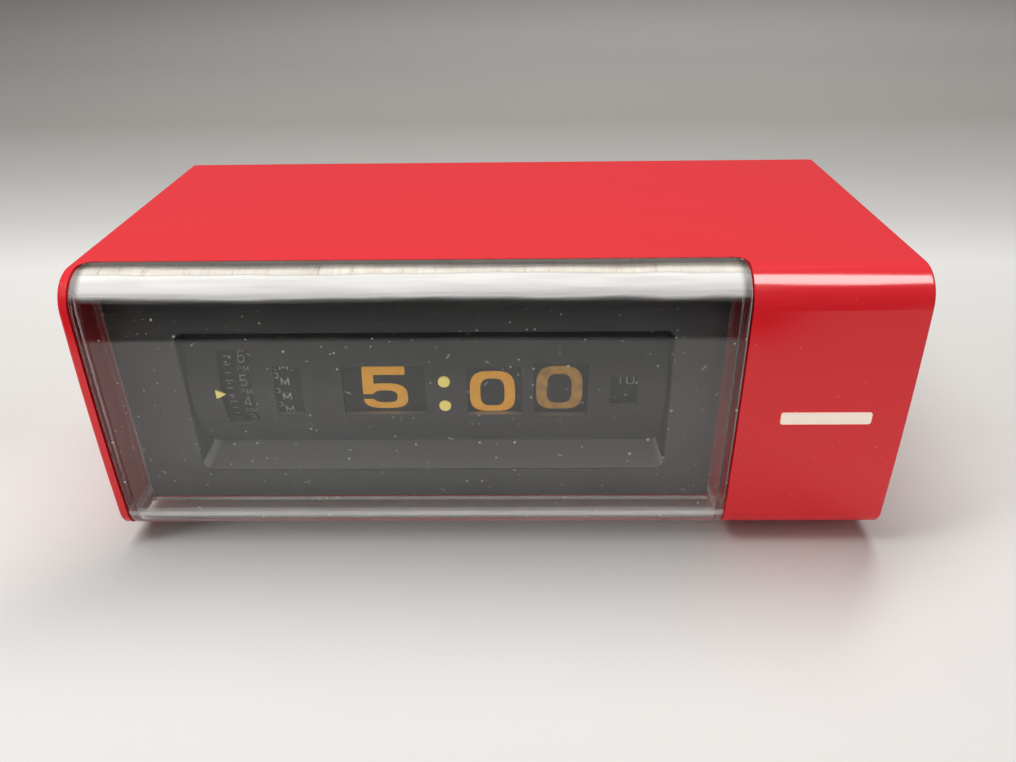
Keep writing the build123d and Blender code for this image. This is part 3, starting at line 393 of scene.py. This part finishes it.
def dial_material():
    """Charcoal moulding: smooth on the flat frame, fine grain on the curved panel."""
    nt = NT("dial_charcoal")
    sep = nt.n("ShaderNodeSeparateXYZ")
    nt.link(nt.co, sep.inputs[0])
    inside = nt.math("GREATER_THAN", sep.outputs[1], -0.0417)
    grain = nt.noise(1300.0, 3.0, 0.6)
    fine = nt.noise(5200.0, 1.0, 0.5)
    n1 = nt.bump(fine, 0.03, 0.00003)
    n2n = nt.n("ShaderNodeBump")
    n2n.inputs["Distance"].default_value = 0.00006
    nt.link(grain, n2n.inputs["Height"])
    nt.link(nt.math("MULTIPLY", inside, 0.018), n2n.inputs["Strength"])
    nt.link(n1, n2n.inputs["Normal"])
    col = nt.ramp(nt.noise(60.0, 4.0), (0.3, (0.090, 0.091, 0.092)), (0.7, (0.106, 0.107, 0.108)))
    # the curved panel inside the recess is painted darker than the flat frame: painted shade in the recess
    col = nt.mix(nt.math("MULTIPLY", inside, 0.58), col, (0.008, 0.008, 0.0085))
    d = nt.math("MAXIMUM", nt.specks(420.0, 0.05, 0.10), nt.specks(1000.0, 0.07, 0.05))
    d = nt.math("MAXIMUM", d, nt.math("MAXIMUM", nt.flecks(380.0, 0.07, 0.08), nt.flecks(900.0, 0.10, 0.06)))
    col = nt.mix(nt.math("MULTIPLY", d, 0.5), col, (0.5, 0.48, 0.45))
    # painted light: the slope and the window ledges that face up are painted pale, as if lit from above
    gn = nt.n("ShaderNodeSeparateXYZ")
    nt.link(nt.n("ShaderNodeNewGeometry").outputs["True Normal"], gn.inputs[0])
    within = nt.math("MULTIPLY", inside, nt.math("LESS_THAN", sep.outputs[2], 0.0385))
    slope = nt.math("MULTIPLY", nt.math("MULTIPLY", within, nt.math("GREATER_THAN", gn.outputs[2], 0.12)), 0.88)
    ledge = nt.math("MULTIPLY", nt.math("MULTIPLY", within, nt.math("GREATER_THAN", gn.outputs[2], 0.93)), 0.8)
    col = nt.mix(nt.math("MAXIMUM", slope, ledge), col, (0.62, 0.62, 0.61))
    e = nt.math("MULTIPLY", nt.edges(0.0004), 1.6, clamp=True)
    col = nt.mix(nt.math("MULTIPLY", e, 0.5), col, (0.12, 0.12, 0.118))
    r = nt.ramp(nt.noise(90.0, 4.0), (0.3, 0.42), (0.8, 0.55))
    p = principled(nt, col, r, n2n.outputs["Normal"])
    nt.link(p.outputs[0], nt.out.inputs["Surface"])
    return nt.mat


def figure_material(name, color, dark, rough=0.5, painted_glow=0.0):
    nt = NT(name)
    c = nt.ramp(nt.noise(420.0, 4.0), (0.32, dark), (0.6, color))
    chips = nt.math("GREATER_THAN", nt.noise(2600.0, 3.0), 0.71)
    c = nt.mix(nt.math("MULTIPLY", chips, 0.5), c, (0.08, 0.06, 0.03))
    nrm = nt.bump(nt.noise(1800.0, 2.0), 0.15, 0.00003)
    p = principled(nt, c, rough, nrm)
    if painted_glow:                       # painted glow: emission makes the figures give back more light than falls on them, though no lamp is there
        nt.link(c, p.inputs["Emission Color"])
        p.inputs["Emission Strength"].default_value = painted_glow
    nt.link(p.outputs[0], nt.out.inputs["Surface"])
    return nt.mat


M = {
    "red": red_case_material(),
    "lens": lens_material(),
    "seal": seal_material(),
    "dial": dial_material(),
    "black": moulded("black_cover", (0.018, 0.018, 0.019), 0.46, grain=1500.0, grain_amt=0.45, grain_depth=0.00009,
                     dust=0.09, wear=0.45, wear_color=(0.09, 0.09, 0.088)),
    "drum": moulded("drum_black", (0.011, 0.011, 0.0115), 0.62, grain=2200.0, grain_amt=0.2, dust=0.04, wear=0.3,
                    wear_color=(0.07, 0.07, 0.07)),
    "wheel": moulded("wheel_grey", (0.045, 0.045, 0.046), 0.42, dust=0.06, wear=0.8, wear_color=(0.2, 0.2, 0.19)),
    "gear": moulded("gear_white", (0.72, 0.69, 0.60), 0.38, dust=0.03, dust_color=(0.3, 0.25, 0.2), wear=0.3,
                    wear_color=(0.85, 0.83, 0.78), Subsurface_Weight=0.0),
    "spacer": moulded("spacer_white", (0.62, 0.60, 0.54), 0.5, dust=0.03, wear=0.2, wear_color=(0.8, 0.8, 0.75)),
    "rubber": moulded("foot_rubber", (0.022, 0.022, 0.022), 0.85, grain=900.0, grain_amt=0.4, dust=0.25),
    "screw": metal("screw_steel", (0.62, 0.61, 0.58), 0.34, (1, 1, 1), 0.6),
    "plate": metal("plate_steel", (0.60, 0.56, 0.44), 0.36, (1, 0.12, 1), 0.4),
    "shaft": metal("shaft_steel", (0.66, 0.66, 0.66), 0.22, (0.1, 1, 1), 0.2),
    "brass": metal("brass_part", (0.72, 0.50, 0.20), 0.3, (1, 1, 1), 0.5),
    "can": metal("motor_can", (0.55, 0.55, 0.54), 0.3, (0.2, 1, 1), 0.4),
    "tin": metal("contact_tin", (0.72, 0.72, 0.70), 0.25, (1, 1, 1), 0.3),
    "cell": moulded("cell_jacket", (0.10, 0.11, 0.14), 0.32, dust=0.05, wear=0.5, wear_color=(0.5, 0.5, 0.5),
                    Metallic=0.6),
    "switch": moulded("switch_dark", (0.03, 0.03, 0.03), 0.5, dust=0.05, wear=0.3),
    "phenolic": moulded("phenolic", (0.22, 0.105, 0.035), 0.45, grain=700.0, grain_amt=0.3, mottle=0.3, dust=0.05),
    "component": moulded("component_mix", (0.28, 0.10, 0.04), 0.3, mottle=0.4, dust=0.05),
    "diaphragm": metal("diaphragm_brass", (0.66, 0.48, 0.22), 0.28, (1, 1, 1), 0.5),
    "yellow": figure_material("pale_yellow", (0.93, 0.78, 0.22), (0.86, 0.68, 0.16), painted_glow=0.42),
    # the badge is given emission: a painted glow, it is no lamp
    "badge": moulded("cream_badge", (0.97, 0.87, 0.76), 0.4, dust=0.03, dust_color=(0.4, 0.2, 0.15), mottle=0.05,
                     Emission_Color=(1.0, 0.80, 0.64, 1.0), Emission_Strength=0.22),
    "orange": figure_material("figure_orange", (0.90, 0.42, 0.015), (0.78, 0.34, 0.012), painted_glow=0.30),
    # a darker copy of the orange for the minute units: painted shade
    "orange_shaded": figure_material("figure_orange_painted_shade", (0.56, 0.29, 0.05), (0.36, 0.18, 0.04), painted_glow=0.2),
    "grey_print": figure_material("figure_grey", (0.46, 0.46, 0.44), (0.33, 0.33, 0.32)),
    "white_print": figure_material("figure_white", (0.68, 0.68, 0.65), (0.50, 0.50, 0.48)),
}
by_node = {
    "red": ["case_shell"], "lens": ["lens"], "seal": ["lens_seal"], "dial": ["dial_bezel"],
    "yellow": ["colon_dots", "alarm_pointer"], "badge": ["badge_bar"],
    "black": ["rear_cover", "battery_door", "alarm_stop_bar", "alarm_switch_slider", "base_plinth"],
    "screw": ["rear_cover_screws", "frame_screws", "frame_nuts", "axle_clips", "shaft_collars", "hatch_pin"],
    "rubber": ["rubber_feet"], "plate": ["frame_plate_left", "frame_plate_right", "motor_plate", "setting_bracket"],
    "shaft": ["frame_pillars", "drum_axle", "transfer_shaft", "setting_shaft", "drive_shaft", "reduction_stud"],
    "drum": ["alarm_drum", "am_pm_drum", "hour_drum", "minute_tens_drum", "minute_units_drum", "seconds_drum"],
    "gear": ["carry_pinion_am_pm", "carry_pinion_hour", "carry_pinion_tens", "seconds_cluster", "alarm_idler",
             "drive_gear", "reduction_gear"],
    "brass": ["drive_pinion", "motor_pinion", "alarm_contacts"], "wheel": ["alarm_set_wheel", "time_set_wheel"],
    "spacer": ["shaft_spacers", "battery_cradle"], "can": ["motor_body"], "cell": ["battery_cell"],
    "tin": ["battery_contact_plate", "battery_contact_spring", "stop_bar_springs"],
    "switch": ["alarm_switch_body", "sounder_body"], "phenolic": ["contact_block", "circuit_board"],
    "component": ["board_components"], "diaphragm": ["sounder_diaphragm"],
}
for key, names in by_node.items():
    for name in names:
        if name in nodes:
            ob = nodes[name]
            ob.data.materials.clear()
            ob.data.materials.append(M[key])

# ------------------------------------------------------------------
# Figures on the drums: raised print, built from implicit strokes and
# wrapped round each rim.  Units are millimetres until the last step.
# ------------------------------------------------------------------
AX_Y, AX_Z, DRUM_R = -13.0, 39.0, 26.2
STRETCH = 1.39       # upright strokes are thicker than level ones


def ring(u, v, cu, cv, a, b, t=2.3, n=2.7):
    du, dv = np.abs(u - cu), np.abs(v - cv)
    outer = ((du / a) ** n + (dv / b) ** n) ** (1 / n) - 1
    ai, bi = a - t, b - t
    inner = ((du / ai) ** n + (dv / bi) ** n) ** (1 / n) - 1
    return np.maximum(outer * min(a, b), -inner * min(ai, bi))


def solid(u, v, cu, cv, a, b, n=2.7):
    return ((np.abs((u - cu) / a)) ** n + (np.abs((v - cv) / b)) ** n) ** (1 / n) * min(a, b) - min(a, b)


def rect(u, v, u0, u1, v0, v1):
    return np.maximum(np.abs(u - (u0 + u1) / 2) - (u1 - u0) / 2, np.abs(v - (v0 + v1) / 2) - (v1 - v0) / 2)


def seg(u, v, p, q, r):
    pu, pv = p
    du, dv = q[0] - pu, q[1] - pv
    t = np.clip(((u - pu) * du + (v - pv) * dv) / (du * du + dv * dv), 0, 1)
    return np.hypot(u - pu - t * du, v - pv - t * dv) - r


def quad(u, v, pts):
    """Convex polygon, counter-clockwise."""
    f = None
    for (a, b), (c, d) in zip(pts, pts[1:] + pts[:1]):
        nx, ny = d - b, a - c
        L = math.hypot(nx, ny)
        g = ((u - a) * nx + (v - b) * ny) / L
        f = g if f is None else np.maximum(f, g)
    return f


A_, B_ = 4.32, 6.15
T_ = 2.0


def glyph(ch):
    def f(u, v):
        U = np.minimum
        if ch == "0":
            return ring(u, v, 0, 0, A_, B_, T_, 3.3)
        if ch == "1":
            return U(rect(u, v, -0.2, 1.9, -B_, B_),
                     quad(u, v, [(-0.2, 3.5), (-0.2, B_ - 0.2), (-2.9, 4.1), (-2.9, 2.1)][::-1]))
        if ch == "2":
            top = ring(u, v, 0, 2.35, A_, 3.8, T_, 3.0)
            top = np.maximum(top, -quad(u, v, [(-6, -3), (8, -3), (8, 0.4), (0.6, 0.9), (-1.0, 1.9), (-6, 1.9)]))
            diag = quad(u, v, [(-4.3, -4.15), (-4.3, -3.3), (3.6, 1.6), (2.6, -0.6), (-1.4, -4.15)][::-1])
            return U(U(top, diag), rect(u, v, -A_, A_, -B_, -B_ + T_))
        if ch == "3":
            t1 = np.maximum(ring(u, v, -0.1, 2.85, 4.0, 3.3, T_, 3.0), -rect(u, v, -6, -0.9, 1.3, 3.9))
            t2 = np.maximum(ring(u, v, 0, -2.3, A_, 3.85, T_, 3.0), -rect(u, v, -6, -0.9, -3.0, 0.2))
            return U(t1, t2)
        if ch == "4":
            bar = rect(u, v, 1.1, 3.1, -B_, B_)
            low = rect(u, v, -4.5, 4.5, -3.7, -1.75)
            diag = quad(u, v, [(-4.5, -1.75), (-4.5, -2.6), (-2.5, -2.4), (3.1, B_), (1.1, B_)])
            return U(U(bar, low), diag)
        if ch == "5":
            bowl = ring(u, v, 0.0, -2.27, A_, 3.88, T_, 2.9)
            bowl = np.maximum(bowl, -rect(u, v, -6, -1.2, -3.05, -1.5))
            bowl = np.maximum(bowl, -rect(u, v, -6, -2.25, -3.0, 3.0))
            up = quad(u, v, [(-4.15, B_), (-4.25, -1.5), (-2.15, -1.5), (-2.0, B_)])
            top = rect(u, v, -4.15, 4.0, B_ - 2.2, B_)
            foot = np.maximum(ring(u, v, 0.0, -2.27, A_, 3.88, T_, 2.9), v + 3.05)
            join = np.maximum(solid(u, v, 0.0, -2.27, A_, 3.88, 2.9), rect(u, v, -2.9, -1.4, -0.9, 1.2))
            join = np.maximum(join, -solid(u, v, 0.0, -2.27, A_ - T_, 1.88, 2.9))
            return U(U(U(U(bowl, up), top), foot), join)
        if ch in "69":
            if ch == "9":
                u, v = -u, -v
            bowl = ring(u, v, 0, -2.2, A_, 3.95, T_, 3.0)
            tall = np.maximum(ring(u, v, 0, 0, A_, B_, T_, 3.2), -rect(u, v, 1.4, 6, -8, 3.1))
            tall = np.maximum(tall, -rect(u, v, -2.3, 8, -8, 3.4))
            return U(bowl, tall)
        if ch == "7":
            return U(rect(u, v, -A_, A_, B_ - T_, B_),
                     quad(u, v, [(A_, B_ - T_), (A_, B_), (1.6, B_ - T_), (-2.4, -B_), (-0.1, -B_)][::-1]))
        if ch == "8":
            return U(ring(u, v, 0, 2.85, 3.95, 3.3, T_, 3.0), ring(u, v, 0, -2.35, A_, 3.8, T_, 3.0))
        if ch == "P":
            return U(rect(u, v, -3.9, -1.9, -B_, B_), np.maximum(ring(u, v, -0.4, 2.5, 4.1, 3.65, T_), -1.9 - u))
        if ch == "A":
            legs = U(seg(u, v, (-3.6, -5.2), (-0.1, 5.1), 1.0), seg(u, v, (3.6, -5.2), (0.1, 5.1), 1.0))
            return U(legs, rect(u, v, -2.4, 2.4, -2.6, -0.8))
        if ch == "M":
            k = U(rect(u, v, -4.6, -2.7, -B_, B_), rect(u, v, 2.7, 4.6, -B_, B_))
            return U(k, U(seg(u, v, (-3.6, 5.1), (0, -3.4), 1.05), seg(u, v, (3.6, 5.1), (0, -3.4), 1.05)))
        if ch == ".":
            return np.hypot(u, v) - 3.6
        return rect(u, v, -A_, A_, -1.1, 1.1)
    return f


def patch(f, w, h, cell):
    """Small flat faces covering f < 0 inside a w by h millimetre field."""
    pad = 0.6
    nx, ny = int((w + 2 * pad) / cell) + 1, int((h + 2 * pad) / cell) + 1
    xs, ys = np.linspace(-w / 2 - pad, w / 2 + pad, nx), np.linspace(-h / 2 - pad, h / 2 + pad, ny)
    X, Y = np.meshgrid(xs, ys, indexing="ij")
    F = f(X, Y) + 1e-7
    verts, faces, index = [], [], {}

    def node(i, j):
        k = ("n", i, j)
        if k not in index:
            index[k] = len(verts)
            verts.append((xs[i], ys[j]))
        return index[k]

    def cut(a, b):
        k = ("c",) + (a + b if a < b else b + a)
        if k not in index:
            fa, fb = F[a], F[b]
            t = min(0.98, max(0.02, fa / (fa - fb)))
            index[k] = len(verts)
            verts.append((xs[a[0]] + t * (xs[b[0]] - xs[a[0]]), ys[a[1]] + t * (ys[b[1]] - ys[a[1]])))
        return index[k]

    for i in range(nx - 1):
        for j in range(ny - 1):
            c = [(i, j), (i + 1, j), (i + 1, j + 1), (i, j + 1)]
            s = [F[q] < 0 for q in c]
            if not any(s):
                continue
            poly = []
            for k in range(4):
                a, b = c[k], c[(k + 1) % 4]
                if s[k]:
                    poly.append(node(*a))
                if s[k] != s[(k + 1) % 4]:
                    poly.append(cut(a, b) if a < b else cut(b, a))
            if len(poly) >= 3:
                faces.append(poly)
    return verts, faces


def add_figure(store, ch, xc, phi, w, h, cell, thick=0.05, thin=0.0, rim=DRUM_R):
    """Wraps one figure on the rim: centred at xc (mm) and angle phi (degrees, up from the front)."""
    su, sv = w / (2 * A_), h / (2 * B_)
    if ch in "PMA":
        su = w / 9.2
    g = glyph(ch)
    grow = 1.0 + thin / 6.0
    su, sv = su * grow, sv * grow
    vs, fs = patch(lambda x, y: (g(x / su, y / sv) + thin) * min(su, sv), w * 1.08, h, cell)
    base = len(store[0])
    n = len(vs)
    for r in (rim + thick, rim - 0.05):
        for x, y in vs:
            a = math.radians(phi) + y / rim
            store[0].append(((xc + x) * MM, (AX_Y - r * math.cos(a)) * MM, (AX_Z + r * math.sin(a)) * MM))
    edges = {}
    for f in fs:
        store[1].append([base + k for k in f])
        store[1].append([base + n + k for k in reversed(f)])
        for p, q in zip(f, f[1:] + f[:1]):
            edges[(p, q)] = edges.get((p, q), 0) + 1
    for (p, q) in list(edges):
        if (q, p) not in edges:
            store[1].append([base + q, base + p, base + n + p, base + n + q])


def make_piece(name, store, mat, body):
    me = bpy.data.meshes.new(name)
    me.from_pydata(store[0], [], store[1])
    me.validate()
    me.update()
    bm = bmesh.new()
    bm.from_mesh(me)
    bmesh.ops.remove_doubles(bm, verts=bm.verts, dist=1e-7)
    bmesh.ops.recalc_face_normals(bm, faces=bm.faces)
    bm.to_mesh(me)
    bm.free()
    ob = bpy.data.objects.new(name, me)
    scene.collection.objects.link(ob)
    me.materials.append(mat)
    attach(ob, body)
    return ob


def new():
    return ([], [])


# hours: 5 stands in its window, higher numbers stand above
st = new()
for h in range(1, 13):
    phi = 0.75 + 30.0 * (h - 5)
    if h < 10:
        add_figure(st, str(h), -29.1, phi, 11.7, 12.5, 0.22)
    else:
        add_figure(st, "1", -34.7, phi, 7.6, 12.5, 0.22)
        add_figure(st, str(h - 10), -26.2, phi, 9.4, 12.5, 0.22)
make_piece("hour_figures", st, M["orange"], "hour_drum")

st = new()
for k in range(12):
    add_figure(st, str(k % 6), -1.1, -2.1 + 30.0 * k, 11.75, 12.4, 0.22)
make_piece("minute_tens_figures", st, M["orange"], "minute_tens_drum")

st = new()
for k in range(10):
    add_figure(st, str(k), 16.25, 0.1 + 36.0 * k, 12.0, 12.9, 0.22)
# the minute units take the darker copy of the orange: painted shade
make_piece("minute_units_figures", st, M["orange_shaded"], "minute_units_drum")

# seconds: a number every ten seconds, a dot every two
st = new()
for k in range(6):
    t = "%d0" % k if k else "60"
    phi = 6.3 + 60.0 * (k - 1)
    add_figure(st, t[0], 31.8, phi, 1.5, 3.0, 0.12, thin=0.35)
    add_figure(st, t[1], 34.5, phi, 2.3, 3.0, 0.12, thin=0.35)
    for d in range(1, 5):
        add_figure(st, ".", 33.5, phi + 1.8 - 12.0 * d, 0.95, 1.2, 0.1)
make_piece("seconds_figures", st, M["grey_print"], "seconds_drum")

# AM/PM strip: staggered letters all round, half the turn each
st = new()
for k in range(38):
    phi = 8.1 + (360.0 / 38) * k
    add_figure(st, "P" if k < 13 or k >= 32 else "A", -57.25, phi, 2.2, 2.9, 0.12, thin=0.42)
    add_figure(st, "M", -54.9, phi - 2.3, 2.25, 2.1, 0.1, thin=0.35)
make_piece("am_pm_figures", st, M["white_print"], "am_pm_drum")

# alarm scale: 24 hours, a long tick at each hour, short ones at twenty and forty minutes
ALARM_R = 25.0
st = new()
for k in range(24):
    hour = (17 + k) % 24
    phi = 5.4 + 15.0 * k
    label = str((hour - 1) % 12 + 1)
    if len(label) == 1:
        add_figure(st, label, -66.15, phi, 1.9, 3.3, 0.12, thin=0.42, rim=ALARM_R)
    else:
        add_figure(st, label[0], -67.3, phi, 1.2, 3.3, 0.12, thin=0.4, rim=ALARM_R)
        add_figure(st, label[1], -65.5, phi, 1.6, 3.3, 0.12, thin=0.4, rim=ALARM_R)
    add_figure(st, "A" if hour < 12 else "P", -66.75, phi - 7.6, 1.25, 1.6, 0.1, thin=0.5, rim=ALARM_R)
    add_figure(st, "M", -65.1, phi - 7.6, 1.5, 1.6, 0.1, thin=0.45, rim=ALARM_R)
    for m in range(3):
        w = 2.15 if m == 0 else 1.5
        xc = -70.85 + w / 2 + (0.0 if m == 0 else 0.15)
        vs, fs = patch(lambda x, y: np.maximum(np.abs(x) - w / 2, np.abs(y) - 0.16), w, 0.5, 0.1)
        base, n = len(st[0]), len(vs)
        for r in (ALARM_R + 0.05, ALARM_R - 0.05):
            for x, y in vs:
                a = math.radians(phi + 5.0 * m) + y / ALARM_R
                st[0].append(((xc + x) * MM, (AX_Y - r * math.cos(a)) * MM, (AX_Z + r * math.sin(a)) * MM))
        edges = set()
        for f in fs:
            st[1].append([base + q for q in f])
            st[1].append([base + n + q for q in reversed(f)])
            for p, q in zip(f, f[1:] + f[:1]):
                edges.add((p, q))
        for (p, q) in edges:
            if (q, p) not in edges:
                st[1].append([base + q, base + p, base + n + p, base + n + q])
make_piece("alarm_figures", st, M["grey_print"], "alarm_drum")


# ------------------------------------------------------------------
# Floor and light
# ------------------------------------------------------------------
def floor_material():
    nt = NT("floor")
    sep = nt.n("ShaderNodeSeparateXYZ")
    nt.link(nt.co, sep.inputs[0])
    y = nt.math("MULTIPLY", nt.math("ADD", sep.outputs[1], 0.5), 0.5)   # -0.5..1.5 m to 0..1
    # painted light and shade on the floor: its colour changes from front to back, darker in a band where the clock
    # stands and further behind it, and pale again far back, in place of how the light falls off
    col = nt.ramp(y, (0.0, (0.70, 0.695, 0.685)), (0.195, (0.74, 0.735, 0.725)), (0.225, (0.72, 0.715, 0.705)), (0.25, (0.65, 0.645, 0.63)),
                  (0.32, (0.74, 0.735, 0.72)), (0.355, (0.56, 0.55, 0.54)), (0.40, (0.44, 0.43, 0.42)),
                  (0.47, (0.36, 0.35, 0.335)), (0.61, (0.45, 0.43, 0.42)), (1.0, (0.95, 0.90, 0.88)))
    col = nt.mix(0.04, col, nt.ramp(nt.noise(5.0, 4.0), (0.3, 0.3), (0.7, 1.0)), "MULTIPLY")
    p = principled(nt, col, 0.55, nt.bump(nt.noise(900.0, 3.0), 0.03, 0.0001))
    p.inputs["Specular IOR Level"].default_value = 0.25
    nt.link(p.outputs[0], nt.out.inputs["Surface"])
    return nt.mat


me = bpy.data.meshes.new("floor")
L = 6.0
me.from_pydata([(-L, -L, 0), (L, -L, 0), (L, L, 0), (-L, L, 0)], [], [(0, 1, 2, 3)])
floor = bpy.data.objects.new("floor", me)
scene.collection.objects.link(floor)
me.materials.append(floor_material())


def area(name, loc, target, sx, sy, power, color=(1, 1, 1)):
    d = bpy.data.lights.new(name, "AREA")
    d.shape = "RECTANGLE"
    d.size, d.size_y = sx, sy
    d.energy = power
    d.color = color
    o = bpy.data.objects.new(name, d)
    scene.collection.objects.link(o)
    o.location = loc
    o.rotation_euler = (Vector(target) - Vector(loc)).to_track_quat("-Z", "Y").to_euler()
    return o


key = area("key_top", (-0.14, 0.15, 1.05), (-0.02, 0.0, 0.0), 1.7, 0.24, 16.4, (1.0, 0.99, 0.97))
key.visible_glossy = False
key.visible_transmission = False
# a broad panel that only shows as the soft highlight along the top edge
panel = area("glint_panel", (0.40, -0.26, 1.02), (0.08, -0.05, 0.07), 0.45, 0.55, 10.0, (1.0, 0.99, 0.97))
panel.visible_diffuse = False
panel.visible_transmission = False
panel.visible_volume_scatter = False
only_case = bpy.data.collections.new("glint_receivers")
only_case.objects.link(nodes["case_shell"])
panel.light_linking.receiver_collection = only_case
for lamp in (area("fill_front", (-0.20, -0.75, 1.10), (0, 0.0, 0.02), 1.4, 0.9, 2.0, (1.0, 0.985, 0.965)),
             area("front_low", (0.0, -0.95, 0.14), (0, 0.0, 0.05), 1.5, 0.24, 1.7, (1.0, 0.985, 0.965))):
    lamp.visible_transmission = False
    lamp.visible_glossy = lamp.name == "fill_front"

world = bpy.data.worlds.new("world")
scene.world = world
world.use_nodes = True
bg = world.node_tree.nodes["Background"]
bg.inputs["Color"].default_value = (1.0, 0.985, 0.965, 1)
bg.inputs["Strength"].default_value = 0.10

# a dark card in front of the clock, seen only in its reflections
me = bpy.data.meshes.new("flag_card")
me.from_pydata([(-0.6, -0.201, 0.0006), (0.115, -0.201, 0.0006), (0.34, -0.55, 0.0006), (-0.6, -0.55, 0.0006),
                (0.34, -0.55, 0.22), (-0.6, -0.55, 0.22)], [], [(0, 1, 2, 3), (3, 2, 4, 5)])
flag = bpy.data.objects.new("flag_card", me)
scene.collection.objects.link(flag)
nt = NT("flag_black")
p = principled(nt, nt.ramp(nt.noise(40.0, 2.0), (0.3, 0.01), (0.7, 0.015)), 0.9)
nt.link(p.outputs[0], nt.out.inputs["Surface"])
me.materials.append(nt.mat)
flag.visible_camera = False
flag.visible_diffuse = False
flag.visible_shadow = False
